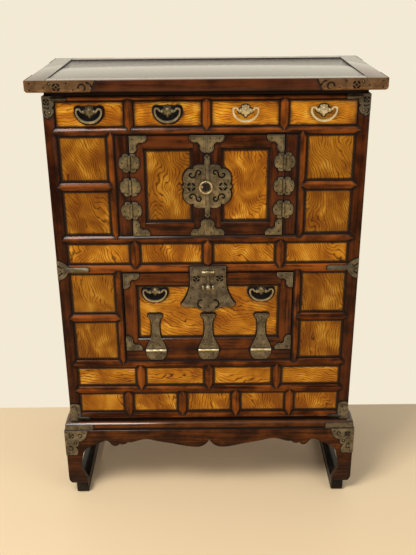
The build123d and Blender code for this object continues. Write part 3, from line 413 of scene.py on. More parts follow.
def soften(board, width=EDGE_SOFTENING):
    """Rounds a board's sharp edges a little."""
    bevel = board.modifiers.new("soft edges", "BEVEL")
    bevel.width = width
    bevel.segments = 2
    bevel.limit_method = "ANGLE"
    bevel.angle_limit = math.radians(25)
    bevel.use_clamp_overlap = True
    bevel.harden_normals = False
    bpy.context.view_layer.objects.active = board
    bpy.ops.object.modifier_apply(modifier=bevel.name)


def joined(pieces, name):
    """Several objects as one, under a new name."""
    bpy.ops.object.select_all(action="DESELECT")
    for piece in pieces:
        piece.select_set(True)
    bpy.context.view_layer.objects.active = pieces[0]
    if len(pieces) > 1:
        bpy.ops.object.join()
    whole = bpy.context.object
    whole.name = name
    whole.data.name = name
    bpy.ops.object.shade_smooth_by_angle(angle=math.radians(30))
    return whole


def wooden(node, body, paint, seed, softening=EDGE_SOFTENING):
    """Every board of a CAD node with its own grain, softened edges and one finish."""
    rng = random.Random(seed)
    boards = boards_of(node)
    for board in boards:
        board.data.materials.append(paint)
        lay_grain(board, rng)
        if softening:
            soften(board, softening)
    whole = joined(boards, node + "_wood")
    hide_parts(node)
    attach(whole, body)


rail_paint = lacquered_wood("rail_lacquer", (0.032, 0.007, 0.001), (0.31, 0.078, 0.007), 0.45)
post_paint = lacquered_wood("post_lacquer", (0.018, 0.004, 0.001), (0.110, 0.025, 0.004), 0.5)
wooden("corner_posts", "carcass", post_paint, 1)
for seed, node in enumerate(("front_rails", "row_dividers", "bay_posts", "bay_rails"), 2):
    wooden(node, "carcass", rail_paint, seed)

# ------------------------------------------------------------------ top
# Four wide boards round a thin sunk panel, darker and glossier than the front, with a narrow
# recessed strip below that joins it to the carcass.
TOP_SOFTENING = 1.2 * MM
top_paint = lacquered_wood(
    "top_lacquer", (0.018, 0.005, 0.002), (0.100, 0.024, 0.005), coat=1.0, sheen=0.2, gloss=2.3
)
panel_paint = lacquered_wood(
    "top_panel_lacquer", (0.06, 0.053, 0.040), (0.12, 0.105, 0.080), coat=1.0, sheen=0.6, gloss=1.7
)
wooden("top_frame", "carcass", top_paint, 6, TOP_SOFTENING)
wooden("top_panel", "carcass", panel_paint, 7)
wooden("neck_strips", "carcass", post_paint, 8)

# ------------------------------------------------------------------ sides, back and inner boards
# Side frames like the front ones with plain thin panels; the back and all that is hidden inside
# is left bare and pale.
side_paint = lacquered_wood("side_lacquer", (0.07, 0.018, 0.005), (0.30, 0.090, 0.020), 0.2)
bare_paint = lacquered_wood("bare_softwood", (0.30, 0.19, 0.10), (0.50, 0.36, 0.21), 0.0, shade_and_wax_amount=0.3)
wooden("side_rails", "carcass", rail_paint, 9)
wooden("side_panels", "carcass", side_paint, 10)
BACK_BOARDS = ["back_rails", "back_panels"]
INNER_BOARDS = ["drawer_deck", "cabinet_floor", "trunk_floor", "drawer_guides"]
for seed, node in enumerate(BACK_BOARDS + INNER_BOARDS, 11):
    wooden(node, "carcass", bare_paint, seed)

# ------------------------------------------------------------------ figured panels
# Thin golden zelkova boards in grooves. The figure is different in each, and old wax and painted
# shade darken them along the frame and beside fittings.
GROOVE = 5 * MM
DEEP_GOLD = (0.27, 0.078, 0.004)
GOLD = (0.56, 0.215, 0.011)
PALE_GOLD = (0.82, 0.42, 0.050)
GROWTH_LINE = (0.045, 0.011, 0.001)
PORES = (0.12, 0.034, 0.003)
# How far painted shade from ambient occlusion reaches into a panel beside frame and fittings.
PANEL_HALO = 7.5 * MM
PULL_STAIN_HALF_W = 35 * MM
PULL_STAIN_HALF_H = 20 * MM


def figured_wood(name, pitch, waviness, bold=1.0, light=1.0, pull_stain=0.0, halo=PANEL_HALO):
    """Golden wood with wandering dark growth lines, a waxed border darkened also by painted shade, and
    soiling round a pull.
    """
    finish = Finish(name, 0.3, coat=0.1, coat_roughness=0.15)
    golds = (DEEP_GOLD, GOLD, PALE_GOLD)
    deep, gold, pale = (tuple(min(1.0, light * c) for c in colour) for colour in golds)
    grain = finish.uv("grain")
    across = finish.parts(grain)[1]
    swirl = finish.noise(finish.stretched(grain, (7, 11, 1)), 1.0, 1.5, 0.45, 0.6)
    ripple = finish.noise(finish.stretched(grain, (34, 48, 1)), 1.0, 2.0, 0.5)
    rings = (across + (swirl - 0.5) * waviness + (ripple - 0.5) * 0.013) / pitch
    phase = rings.fraction()
    year = finish.noise(finish.stretched(grain, (4, 60, 1)), 1.0, 1.0)
    line = 1 - phase.eased(0.04, 0.30)
    line = line.most(phase.eased(0.90, 1.0)) * (0.45 + year * 0.9)
    fibres = finish.noise(finish.stretched(grain, (60, 700, 1)), 1.0, 3.0, 0.6)
    glow = finish.noise(finish.stretched(grain, (16, 24, 1)), 1.0, 2.5, 0.55, 0.5)
    colour = finish.mix(deep, gold, (glow + finish.tone() * 0.16).eased(0.28, 0.66))
    colour = finish.mix(colour, pale, (glow - 0.53).eased(0.0, 0.22) * 0.7)
    colour = finish.mix(colour, GROWTH_LINE, line * (0.9 * bold))
    colour = finish.mix(colour, PORES, (fibres - 0.5).eased(0.0, 0.2) * 0.4)
    # The border is darkened by old wax and by painted shade where the panel sinks into its groove;
    # painted shade from ambient occlusion joins it beside fittings.
    near_x, near_z, _ = finish.parts(finish.uv("near_edges"))
    far_x, far_z, _ = finish.parts(finish.uv("far_edges"))
    patchy = (finish.noise(finish.place(), 40.0, 3.0) - 0.5) * (10 * MM)
    clear_x = (near_x.least(far_x) + patchy).eased(-1.5 * MM, 11 * MM)
    clear_z = (near_z.least(far_z) + patchy).eased(-1.5 * MM, 9 * MM)
    shade_and_stain = (1 - clear_x * clear_z).most(finish.shade_and_grime(halo, SHADE_AND_WAX_EASE, SHADE_AND_WAX_RAYS))
    if pull_stain:
        across_pull = (near_x - far_x) / (2 * PULL_STAIN_HALF_W)
        up_pull = (near_z - far_z) / (2 * PULL_STAIN_HALF_H)
        apart = (across_pull ** 2 + up_pull ** 2) ** 0.5 + patchy * 40
        shade_and_stain = shade_and_stain.most((1 - apart.eased(0.86, 1.12)) * pull_stain)
    colour = finish.mix(colour, WAX_AND_SHADE, shade_and_stain * 0.95)
    finish.feed("Base Color", colour)
    finish.feed("Roughness", 0.28 + fibres * 0.14 + shade_and_stain * 0.2)
    finish.bumped(line * -0.8 + fibres * 0.4, 0.25, 0.4 * MM)
    return finish.material


def mark_edges(board, groove):
    """UV maps that hold the distance in from the left and lower edge, and the right and upper."""
    low, high = span_of(board)
    near = board.data.uv_layers.new(name="near_edges")
    far = board.data.uv_layers.new(name="far_edges")
    for loop in board.data.loops:
        x, _, z = board.data.vertices[loop.vertex_index].co
        near.data[loop.index].uv = (x - low.x - groove, z - low.z - groove)
        far.data[loop.index].uv = (high.x - x - groove, high.z - z - groove)


def figured(node, body, paint, seed, *slants):
    """Panels of a CAD node, each with its own figure; slants turn it, from the lowest row up."""
    rng = random.Random(seed)
    boards = boards_of(node)
    rows = sorted({round(middle_of(board).z, 2) for board in boards})
    for board in boards:
        board.data.materials.append(paint)
        slant = slants[rows.index(round(middle_of(board).z, 2))]
        lay_grain(board, rng, slant + rng.uniform(-0.2, 0.2))
        mark_edges(board, GROOVE)
    whole = joined(boards, node + "_figured")
    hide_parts(node)
    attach(whole, body)


row_gold = figured_wood("zelkova_rows", 6.0 * MM, 0.11, bold=1.0, light=1.06)
bay_gold = figured_wood("zelkova_bays", 5.6 * MM, 0.085, bold=0.95, light=0.74)
figured("row_panels", "carcass", row_gold, 21, 1.4, 0.1, 1.1)
figured("bay_panels", "carcass", bay_gold, 29, 1.5, 1.3, 1.4, 1.2)

# ------------------------------------------------------------------ drawers
# Boxes of plain wood behind a figured front, flush with the frame. Polish and dirt have built up
# round the old pulls; the third drawer, with a newer pull, is clean.
# How far painted shade from ambient occlusion reaches in from a drawer front's edges.
DRAWER_HALO = 3.5 * MM
PULL_STAINS = (0.95, 0.95, 0.15, 0.55)
for number, pull_stain in enumerate(PULL_STAINS, 1):
    rng = random.Random(30 + number)
    name = f"zelkova_drawer_{number}"
    drawer_gold = figured_wood(name, 5.2 * MM, 0.06, 0.8, 1.34, pull_stain, DRAWER_HALO)
    boards = boards_of(f"drawer_{number}")
    front = min(boards, key=lambda board: span_of(board)[0].y)
    for board in boards:
        board.data.materials.append(drawer_gold if board == front else bare_paint)
        lay_grain(board, rng, 0.05 if board == front else None)
        mark_edges(board, 0.0)
        soften(board)
    drawer = joined(boards, f"drawer_{number}_box")
    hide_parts(f"drawer_{number}")
    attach(drawer, f"drawer_{number}")

# ------------------------------------------------------------------ doors and jambs
# Two framed doors of warmer brown wood, each round an upright figured panel in a groove, between
# the flat jambs that they hang on.
leaf_paint = lacquered_wood("leaf_lacquer", (0.018, 0.005, 0.002), (0.130, 0.032, 0.006), 0.7)
wooden("door_jambs", "carcass", leaf_paint, 40)
for number, (side, light) in enumerate((("left", 0.73), ("right", 1.08))):
    door_gold = figured_wood(f"zelkova_door_{side}", 7.2 * MM, 0.19, bold=1.0, light=light)
    wooden(f"door_{side}_frame", f"door_{side}", leaf_paint, 41 + number)
    figured(f"door_{side}_panel", f"door_{side}", door_gold, 43 + number, 0.1)

# ------------------------------------------------------------------ drop flap and sill
# One wide leaf, framed like the doors round a level figured panel. It falls forward on the fixed
# sill board below it.
flap_gold = figured_wood("zelkova_flap", 6.4 * MM, 0.10, bold=0.9, light=1.12)
flap_paint = lacquered_wood("flap_lacquer", (0.024, 0.006, 0.002), (0.165, 0.042, 0.006), 0.7)
wooden("flap_sill", "carcass", flap_paint, 50)
wooden("flap_frame", "flap", flap_paint, 51)
figured("flap_panel", "flap", flap_gold, 52, 0.05)

# ------------------------------------------------------------------ stand
# A moulding frame on scalloped aprons whose ends are the legs, joined from front to back by two
# near-black runners on the floor. Its edges are rubbed rounder than the chest's.
STAND_SOFTENING = 1.5 * MM
# How much darker the stand grows towards the floor.
FOOT_DARKENING = 0.75
stand_paint = lacquered_wood(
    "stand_lacquer", (0.018, 0.004, 0.001), (0.150, 0.040, 0.005), coat=1.0, foot=FOOT_DARKENING
)
runner_paint = lacquered_wood("runner_lacquer", (0.006, 0.005, 0.004), (0.022, 0.016, 0.011), 0.4)
wooden("stand_moulding", "carcass", stand_paint, 60)
for seed, node in enumerate(("stand_front_apron", "stand_back_apron", "stand_side_aprons"), 61):
    wooden(node, "carcass", stand_paint, seed, STAND_SOFTENING)
wooden("runners", "carcass", runner_paint, 64, STAND_SOFTENING)

# ------------------------------------------------------------------ door hinges and corner plates
# Hinges of two lobed leaves on a barrel, and lobed plates over the leaf corners, all of sheet
# brass gone olive with age: a rubbed rim, a dark engraved line, and small nails in near-black rings.
SHEET = 1.6 * MM
STEP_UP = 0.35 * MM
LIFT = 0.02 * MM
LINE_INSET = 1.0 * MM
FIELD_INSET = 1.9 * MM
FIELD_RIM = 0.12 * MM
LINE_T = 4 * LIFT
POCKET_FLOOR = 0.15 * MM
CUTTER_L = 8 * MM
CORNER = True
# Near-black of dirt and painted shade on brass.
BRASS_DIRT_AND_SHADE = (0.010, 0.008, 0.007)


def old_brass(name, dull, bright, roughness=0.4, metallic=0.85, shade_and_patina_spot=None):
    """Sheet brass with a blotchy dark patina, worn brighter in patches."""
    finish = Finish(name, roughness, metallic=metallic)
    where = finish.place()
    patches = finish.noise(where, 60.0, 4.0, 0.65)
    specks = finish.noise(where, 520.0, 3.0, 0.6)
    scratches = finish.noise(finish.stretched(where, (900, 900, 60)), 1.0, 2.0, 0.5)
    wear = (patches * 0.7 + specks * 0.3 + scratches * 0.15).eased(0.42, 0.78)
    # Painted shade from ambient occlusion darkens the brass in its hollows and beside raised parts, with
    # the dirt there; a spot, where given, adds a disc of painted shadow with patina.
    shade_and_dirt = finish.shade_and_grime(2.2 * MM, 0.45)
    if shade_and_patina_spot:
        x, _, z = finish.parts(where)
        apart = ((x - shade_and_patina_spot[0]) ** 2 + (z - shade_and_patina_spot[1]) ** 2) ** 0.5
        shade_and_dirt = shade_and_dirt.most(1 - apart.eased(9 * MM, 13 * MM))
    finish.feed("Base Color", finish.mix(finish.mix(dull, bright, wear), BRASS_DIRT_AND_SHADE, shade_and_dirt * 0.92))
    finish.feed("Roughness", roughness + 0.14 - wear * 0.2 + shade_and_dirt * 0.2)
    finish.feed("Metallic", (metallic - shade_and_dirt * 0.5).most(0.0))
    finish.bumped(specks * 0.5 + patches + scratches * 0.3, 0.25, 0.3 * MM)
    return finish.material


olive_brass = old_brass("olive_brass", (0.12, 0.090, 0.045), (0.42, 0.34, 0.18))
pewter_brass = old_brass("pewter_brass", (0.085, 0.068, 0.044), (0.27, 0.225, 0.15))
rubbed_brass = old_brass("rubbed_brass", (0.24, 0.19, 0.105), (0.62, 0.52, 0.32), 0.34)
bright_brass = old_brass("bright_brass", (0.66, 0.50, 0.22), (1.0, 0.90, 0.60), 0.28, 0.55)
nail_brass = old_brass("nail_brass", (0.020, 0.016, 0.012), (0.13, 0.105, 0.07), 0.45)
ring_brass = old_brass("ring_brass", (0.40, 0.28, 0.13), (0.98, 0.78, 0.45), 0.3, 0.6)
# Near-black paint for engraved lines, the floors of pierced holes, rings round nails and crescents
# behind old pulls; in the holes it is painted shade as well as dirt.
black_dirt_and_shade = old_brass("black_dirt_and_shade", (0.004, 0.004, 0.005), (0.014, 0.013, 0.014), 0.6, 0.0)
DOOR_MIDDLE = (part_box("door_left_frame")[0].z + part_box("door_left_frame")[1].z) / 2
LEAF_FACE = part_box("door_left_frame")[0].y


def moved(outline, x, z, turn_x=1, turn_z=1):
    """An outline flipped by signs and then shifted, in millimetres."""
    return [(x + turn_x * point[0], z + turn_z * point[1], *point[2:]) for point in outline]


def flat_sheet(outline, back_y, thickness, paint, inset=0.0, rim=0.25 * MM):
    """Sheet standing forward from back_y, cut to an (x, z) outline, with a rounded rim."""
    curve = bpy.data.curves.new("sheet", "CURVE")
    curve.dimensions = "2D"
    curve.fill_mode = "BOTH"
    curve.resolution_u = 5
    curve.bevel_resolution = 1
    curve.extrude = thickness / 2 - rim
    curve.bevel_depth = rim
    curve.offset = -rim - inset
    spline = curve.splines.new("BEZIER")
    spline.bezier_points.add(len(outline) - 1)
    spline.use_cyclic_u = True
    for point, (x, z, *corner) in zip(spline.bezier_points, outline):
        point.co = (x * MM, z * MM, 0)
        point.handle_left_type = "VECTOR" if corner else "AUTO"
        point.handle_right_type = point.handle_left_type
    sheet = bpy.data.objects.new("sheet", curve)
    bpy.context.scene.collection.objects.link(sheet)
    bpy.ops.object.select_all(action="DESELECT")
    sheet.select_set(True)
    bpy.context.view_layer.objects.active = sheet
    bpy.ops.object.convert(target="MESH")
    sheet = bpy.context.object
    sheet.rotation_euler.x = math.radians(90)
    sheet.location.y = back_y - thickness / 2
    bpy.ops.object.transform_apply(location=True, rotation=True)
    bpy.ops.object.mode_set(mode="EDIT")
    bpy.ops.mesh.select_all(action="SELECT")
    bpy.ops.mesh.remove_doubles(threshold=0.000002)
    bpy.ops.mesh.normals_make_consistent(inside=False)
    bpy.ops.object.mode_set(mode="OBJECT")
    sheet.data.materials.append(paint)
    return sheet


def pierce(layers, holes, back_y):
    """Cuts outlines into sheets, down to a near-black floor just before back_y: painted shade, and old
    soiling, in the holes.
    """
    floor_y = back_y - POCKET_FLOOR
    cutters = [flat_sheet(hole, floor_y, CUTTER_L, black_dirt_and_shade, rim=0.0) for hole in holes]
    cutter = joined(cutters, "cutter")
    for layer in layers:
        cut = layer.modifiers.new("piercing", "BOOLEAN")
        cut.operation = "DIFFERENCE"
        cut.solver = "EXACT"
        cut.material_mode = "TRANSFER"
        cut.object = cutter
        bpy.context.view_layer.objects.active = layer
        bpy.ops.object.modifier_apply(modifier=cut.name)
    bpy.data.objects.remove(cutter)


def engraved(outline, back_y, field, holes=()):
    """A plate with a rubbed rim, a dark line inside it and a raised field, and its holes."""
    rim_y = back_y - SHEET + STEP_UP
    layers = [flat_sheet(outline, back_y, SHEET - STEP_UP, rubbed_brass)]
    layers.append(flat_sheet(outline, rim_y + LIFT, LINE_T, black_dirt_and_shade, LINE_INSET, LIFT))
    layers.append(flat_sheet(outline, rim_y + LIFT, STEP_UP + LIFT, field, FIELD_INSET, FIELD_RIM))
    if holes:
        pierce(layers, holes, back_y)
    return layers


# A nail head of unit radius that faces forward: a dome in a near-black ring.
bpy.ops.object.select_all(action="DESELECT")
bpy.ops.mesh.primitive_cylinder_add(vertices=12, radius=1.4, depth=0.2, rotation=(math.pi / 2, 0, 0))
nail_master = bpy.context.object
bpy.ops.object.transform_apply(rotation=True)
for face in nail_master.data.polygons:
    face.select = face.center.y < -0.09
bpy.ops.object.mode_set(mode="EDIT")
bpy.ops.mesh.inset(thickness=0.4)
for rise, narrowing in ((0.30, 0.86), (0.22, 0.70), (0.08, 0.50)):
    bpy.ops.mesh.extrude_region_move(TRANSFORM_OT_translate={"value": (0, -rise, 0)})
    bpy.ops.transform.resize(value=(narrowing, 1, narrowing))
bpy.ops.object.mode_set(mode="OBJECT")
nail_shape = nail_master.data.copy()
bpy.data.objects.remove(nail_master)
for face in nail_shape.polygons:
    face.material_index = 1 if Vector((face.center.x, face.center.z)).length > 1.0 else 0


def nail(x, z, face_y, radius=1.5, paint=nail_brass):
    """A domed nail head on a face; x, z and radius in millimetres."""
    head = bpy.data.objects.new("nail", nail_shape.copy())
    bpy.context.scene.collection.objects.link(head)
    head.data.materials.clear()
    head.data.materials.append(paint)
    head.data.materials.append(black_dirt_and_shade)
    place = Matrix.Translation((x * MM, face_y, z * MM))
    head.data.transform(place @ Matrix.Scale(radius * MM, 4))
    return head


def nailed(places, face_y, radius, paint=nail_brass):
    """A nail head at each (x, z) place on a face."""
    return [nail(x, z, face_y, radius, paint) for x, z in places]


def round_bar(start, end, radius, paint, sides=20):
    """Barrel or pin between two points in millimetres, its ends rounded."""
    start, end = Vector(start) * MM, Vector(end) * MM
    bpy.ops.object.select_all(action="DESELECT")
    bpy.ops.mesh.primitive_cylinder_add(vertices=sides, radius=radius * MM, depth=(end - start).length)
    bar = bpy.context.object
    bevel = bar.modifiers.new("ends", "BEVEL")
    bevel.width = radius * 0.18 * MM
    bevel.segments = 2
    bevel.limit_method = "ANGLE"
    bevel.angle_limit = math.radians(60)
    bpy.ops.object.modifier_apply(modifier=bevel.name)
    bar.rotation_mode = "QUATERNION"
    bar.rotation_quaternion = (end - start).to_track_quat("Z", "Y")
    bar.location = (start + end) / 2
    bpy.ops.object.transform_apply(location=True, rotation=True)
    bar.data.materials.append(paint)
    return bar


def fitting(pieces, name, body, slot, *replaced):
    """Brass pieces of one fitting as one object that stands for CAD nodes."""
    whole = joined(pieces, name)
    if replaced:
        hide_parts(*replaced)
    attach(whole, body)


# The plate on a corner, arms along +x and +z from the corner at (0, 0).
CORNER_PLATE = [(0, 0, CORNER), (38, 0, CORNER), (39, 4), (36.5, 10.5), (30, 15), (22.5, 14.5)]
CORNER_PLATE += [(17.6, 17.6, CORNER), (14.5, 22.5), (15, 30), (10.5, 36.5), (4, 39)]
CORNER_PLATE += [(0, 38, CORNER)]
CORNER_NAILS = [(7, 7), (28.5, 7.2), (7.2, 28.5)]


def corner_plates(x_sides, z_sides, field):
    """Plates in the corners where the given sides meet; each side is (place, direction inward)."""
    pieces = []
    for x, turn_x in x_sides:
        for z, turn_z in z_sides:
            pieces += engraved(moved(CORNER_PLATE, x, z, turn_x, turn_z), LEAF_FACE, field)
            pieces += nailed(moved(CORNER_NAILS, x, z, turn_x, turn_z), LEAF_FACE - SHEET, 1.3)
    return pieces


# A hinge leaf to the right of its barrel, before the steps that clear or hold the barrels.
BARREL_R = 2.6
CLEAR = 2.9
TAB_END = 0.4
KNUCKLE_GAP = 0.15
PIN_Y = LEAF_FACE / MM - CLEAR
HINGE_HALF = 17.0
BARREL_L = 2 * HINGE_HALF / 3
HINGE_X = 178.6
HINGE_PITCH = 57.2
HINGE_LEAF = [(CLEAR, 20.5, CORNER), (9, 21.2), (14.2, 18.6), (13.4, 13.4, CORNER), (19.0, 12.6)]
HINGE_LEAF += [(22.6, 6), (22.6, -6), (19.0, -12.6), (13.4, -13.4, CORNER), (14.2, -18.6), (9, -21.2)]
HINGE_LEAF += [(CLEAR, -20.5, CORNER)]
HINGE_NAILS = [(8, 15.5), (8, -15.5), (17, 0)]


def tabs(spans):
    """Steps in a leaf's inner edge that reach in to the barrels it holds, from below upward."""
    steps = []
    for low, high in spans:
        steps += [(CLEAR, low, CORNER), (TAB_END, low, CORNER)]
        steps += [(TAB_END, high, CORNER), (CLEAR, high, CORNER)]
    return steps


def hinge_leaf(pin_x, z, turn, held):
    """One leaf of a door hinge with its own barrels; turn is +1 where it lies to the right."""
    pieces = engraved(moved(HINGE_LEAF + tabs(held), pin_x, z, turn), LEAF_FACE, olive_brass)
    pieces += nailed(moved(HINGE_NAILS, pin_x, z, turn), LEAF_FACE - SHEET, 1.2)
    for low, high in held:
        ends = ((pin_x, PIN_Y, z + low), (pin_x, PIN_Y, z + high))
        pieces.append(round_bar(*ends, BARREL_R, olive_brass))
    return pieces


def knuckles(half, middle_half):
    """Spans of the middle barrel and of the two end barrels of a hinge."""
    middle_span = [(-middle_half + KNUCKLE_GAP, middle_half - KNUCKLE_GAP)]
    end_spans = [(-half, -middle_half - KNUCKLE_GAP), (middle_half + KNUCKLE_GAP, half)]
    return middle_span, end_spans


MIDDLE_BARREL, END_BARRELS = knuckles(HINGE_HALF, BARREL_L / 2)
hinge_heights = [DOOR_MIDDLE / MM + k * HINGE_PITCH for k in (-1, 0, 1)]
jamb_leaves = []
for sign in (-1, 1):
    for z in hinge_heights:
        jamb_leaves += hinge_leaf(sign * HINGE_X, z, sign, END_BARRELS)
fitting(jamb_leaves, "jamb_hinges", "carcass", "aged_brass", "jamb_hinge_leaves")

DOOR_SEAM = 0.4
for side, sign in (("left", -1), ("right", 1)):
    low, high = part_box(f"door_{side}_brass")
    seam = (sign * DOOR_SEAM, sign)
    hinge_edge = (sign * (HINGE_X - CLEAR + DOOR_SEAM), -sign)
    door_ends = ((low.z / MM, 1), (high.z / MM, -1))
    pieces = corner_plates((seam, hinge_edge), door_ends, olive_brass)
    for z in hinge_heights:
        pieces += hinge_leaf(sign * HINGE_X, z, -sign, MIDDLE_BARREL)
    fitting(pieces, f"door_{side}_fittings", f"door_{side}", "aged_brass", f"door_{side}_brass")

# ------------------------------------------------------------------ round lock plate
# Two lobed half plates, one on each door, pierced with coins and cloud scrolls. A lap strip with
# spear ends is fixed over the seam on the left one, with a ring pull in an eye.
LOCK_X = -3.0
INNER_EDGE = {"left": DOOR_SEAM, "right": 7.6}
LOCK_UPPER = [(14, 51.5), (24, 50.6), (30.5, 46.5), (31.6, 40.6, CORNER), (40, 41.4), (48.6, 35.4)]
LOCK_UPPER += [(54.2, 25.5), (54.2, 12.5), (51.8, 6.4, CORNER), (57.8, 0, CORNER)]
CLOUD_SCROLL = [(34.4, 30.8), (40.3, 30.1), (39.1, 24.2), (32.5, 21.8), (26.8, 26.1), (25.4, 33.6)]
CLOUD_SCROLL += [(20.6, 38.9), (15.2, 36.0), (15.9, 30.3), (20.1, 29.6)]
SCROLL_W = 3.9
STROKE_TIP = 0.75
LOCK_COIN = (37, 0, 10.6)
LOCK_NAILS = [(12, 44), (12, -44), (49, 15), (49, -15)]
KNOB_X = {"left": -11.8, "right": 10.6}
KNOB_L = 3.6
KNOB_R = 3.0
EYE_R = 3.2
EYE_WIRE_R = 1.1
STRIP = [(5.5, 0), (5.2, 30), (5.5, 62, CORNER), (3.0, 66, CORNER), (6.0, 68.5), (0, 76, CORNER)]
STRIP_Y = LEAF_FACE - 0.3 * MM


def stroke(points, width):
    """Closed outline of a line of the given width through points, fine at its ends."""
    left, right = [], []
    last = len(points) - 1
    for i, point in enumerate(points):
        before, after = points[max(i - 1, 0)], points[min(i + 1, last)]
        along = Vector((after[0] - before[0], after[1] - before[1])).normalized()
        half = width / 2 * (STROKE_TIP if i in (0, last) else 1.0)
        left.append((point[0] - along.y * half, point[1] + along.x * half))
        right.append((point[0] + along.y * half, point[1] - along.x * half))
    return left + right[::-1]


def coin(x, z, radius):
    """Holes that leave a ring round a square that stands on its point, with a hole in it."""
    slot = [(0.98, 0.2, CORNER), (0.71, 0.71), (0.2, 0.98, CORNER)]
    slot += [(0.1, 0.6, CORNER), (0.6, 0.1, CORNER)]
    slot = [(radius * a, radius * b, *corner) for a, b, *corner in slot]
    holes = [moved(slot, x, z, turn_x, turn_z) for turn_x in (-1, 1) for turn_z in (-1, 1)]
    eye = 0.4 * radius
    square = [(eye, 0, CORNER), (0, eye, CORNER), (-eye, 0, CORNER), (0, -eye, CORNER)]
    holes.append(moved(square, x, z))
    return holes


def both_edges(edge):
    """A whole outline from its right half, which starts or ends on the middle line."""
    return edge + [(-point[0], *point[1:]) for point in edge[::-1] if point[0] != 0]


lock_centre = DOOR_MIDDLE / MM
# A disc of painted shadow, with patina, where the ring hangs before the lock plate.
ring_shade_centre = (LOCK_X * MM, DOOR_MIDDLE)
lock_brass = old_brass("lock_brass", (0.11, 0.082, 0.042), (0.40, 0.32, 0.18), 0.38, shade_and_patina_spot=ring_shade_centre)
for side, sign in (("left", -1), ("right", 1)):
    inner = INNER_EDGE[side]
    lower = [(x, -z, *corner) for x, z, *corner in LOCK_UPPER[-2::-1]]
    half = [(inner, 50, CORNER)] + LOCK_UPPER + lower + [(inner, -50, CORNER)]
    holes = [stroke(CLOUD_SCROLL, SCROLL_W), stroke([(x, 4 - z) for x, z in CLOUD_SCROLL], SCROLL_W)]
    holes += coin(*LOCK_COIN)
    holes = [moved(hole, 0, lock_centre, sign) for hole in holes]
    pieces = engraved(moved(half, 0, lock_centre, sign), LEAF_FACE, lock_brass, holes)
    plate_y = (LEAF_FACE - SHEET) / MM
    pieces.append(nail(sign * LOCK_COIN[0], lock_centre, LEAF_FACE - SHEET / 2, 1.6, rubbed_brass))
    knob_x = KNOB_X[side]
    knob = ((knob_x, plate_y, lock_centre), (knob_x, plate_y - KNOB_L, lock_centre))
    pieces.append(round_bar(*knob, KNOB_R, ring_brass))
    pieces += nailed(moved(LOCK_NAILS, 0, lock_centre, sign), LEAF_FACE - SHEET, 1.2)
    if side == "left":
        upper = both_edges(STRIP)
        strip = upper + [(x, -z, *corner) for x, z, *corner in upper[-2:0:-1]]
        pieces += engraved(moved(strip, 0, lock_centre), STRIP_Y, lock_brass)
        for z in (-70, 70):
            pieces.append(nail(0, lock_centre + z, STRIP_Y - SHEET, 1.3))
        ring_low, ring_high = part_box("pull_ring")
        ring_y = (ring_low.y + ring_high.y) / 2
        eye_z = ring_high.z - 1.8 * MM
        bpy.ops.object.select_all(action="DESELECT")
        bpy.ops.mesh.primitive_torus_add(
            location=(LOCK_X * MM, ring_y, eye_z), rotation=(0, math.radians(90), 0),
            major_radius=EYE_R * MM, minor_radius=EYE_WIRE_R * MM, major_segments=24, minor_segments=10,
        )
        eye = bpy.context.object
        bpy.ops.object.transform_apply(location=True, rotation=True)
        eye.data.materials.append(rubbed_brass)
        stem_foot = (LOCK_X, (STRIP_Y - SHEET) / MM, eye_z / MM)
        stem_top = (LOCK_X, ring_y / MM + EYE_R, eye_z / MM)
        pieces += [eye, round_bar(stem_foot, stem_top, EYE_WIRE_R, rubbed_brass)]
    fitting(pieces, f"door_{side}_lock_plate", f"door_{side}", "aged_brass", f"door_{side}_lock")

nodes["pull_ring"].data.materials.clear()
nodes["pull_ring"].data.materials.append(ring_brass)

# ------------------------------------------------------------------ flap straps and corner plates
# Waisted straps of darker brass, hinged on short leaves on the sill, with lobed plates over the
# flap's corners. The barrels are rubbed bright.
STRAP_PITCH = 132.8
STRAP_HALF = 25.5
STRAP_EDGE = [(25.5, CLEAR, CORNER), (22.6, 11), (17.2, 24), (12.0, 36), (9.6, 48), (9.0, 62)]
STRAP_EDGE += [(9.2, 76), (11.2, 86), (15.8, 93), (17.3, 97), (13.5, 99.7), (7, 100), (0, 99.6)]
STRAP_NAILS = [(0, 92), (-9, 14), (9, 14), (0, 40)]
SILL_EDGE = [(25.2, -CLEAR, CORNER), (24.5, -12), (18.5, -23), (14, -27, CORNER)]
SILL_NAILS = [(-12, -9), (12, -9), (0, -21)]
PIN_BELOW_FLAP = 0.4
FLAP_LOW, FLAP_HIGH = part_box("flap_frame")
hinge_z = FLAP_LOW.z / MM - PIN_BELOW_FLAP


def level_tabs(spans, direction):
    """The steps of tabs in a leaf's level edge, from left to right; direction is +1 upward."""
    return [(along, direction * reach, CORNER) for reach, along, _ in tabs(spans)]


middle_span, end_spans = knuckles(STRAP_HALF, STRAP_HALF / 3)
flap_straps, sill_leaves, strap_barrels, sill_barrels = [], [], [], []
for x in (-STRAP_PITCH, 0, STRAP_PITCH):
    outline = both_edges(STRAP_EDGE) + level_tabs(middle_span, 1)
    flap_straps += engraved(moved(outline, x, hinge_z), LEAF_FACE, pewter_brass)
    flap_straps += nailed(moved(STRAP_NAILS, x, hinge_z), LEAF_FACE - SHEET, 1.4)
    outline = both_edges(SILL_EDGE) + level_tabs(end_spans, -1)
    sill_leaves += engraved(moved(outline, x, hinge_z), LEAF_FACE, pewter_brass)
    sill_leaves += nailed(moved(SILL_NAILS, x, hinge_z), LEAF_FACE - SHEET, 1.4)
    for spans, barrels in ((middle_span, strap_barrels), (end_spans, sill_barrels)):
        for low, high in spans:
            ends = ((x + low, PIN_Y, hinge_z), (x + high, PIN_Y, hinge_z))
            barrels.append(round_bar(*ends, BARREL_R, bright_brass))
fitting(flap_straps, "flap_strap_hinges", "flap", "aged_brass", "flap_straps")
fitting(sill_leaves, "sill_hinges", "carcass", "aged_brass", "sill_strap_leaves")
fitting(strap_barrels, "flap_hinge_barrels", "flap", "bright_brass")
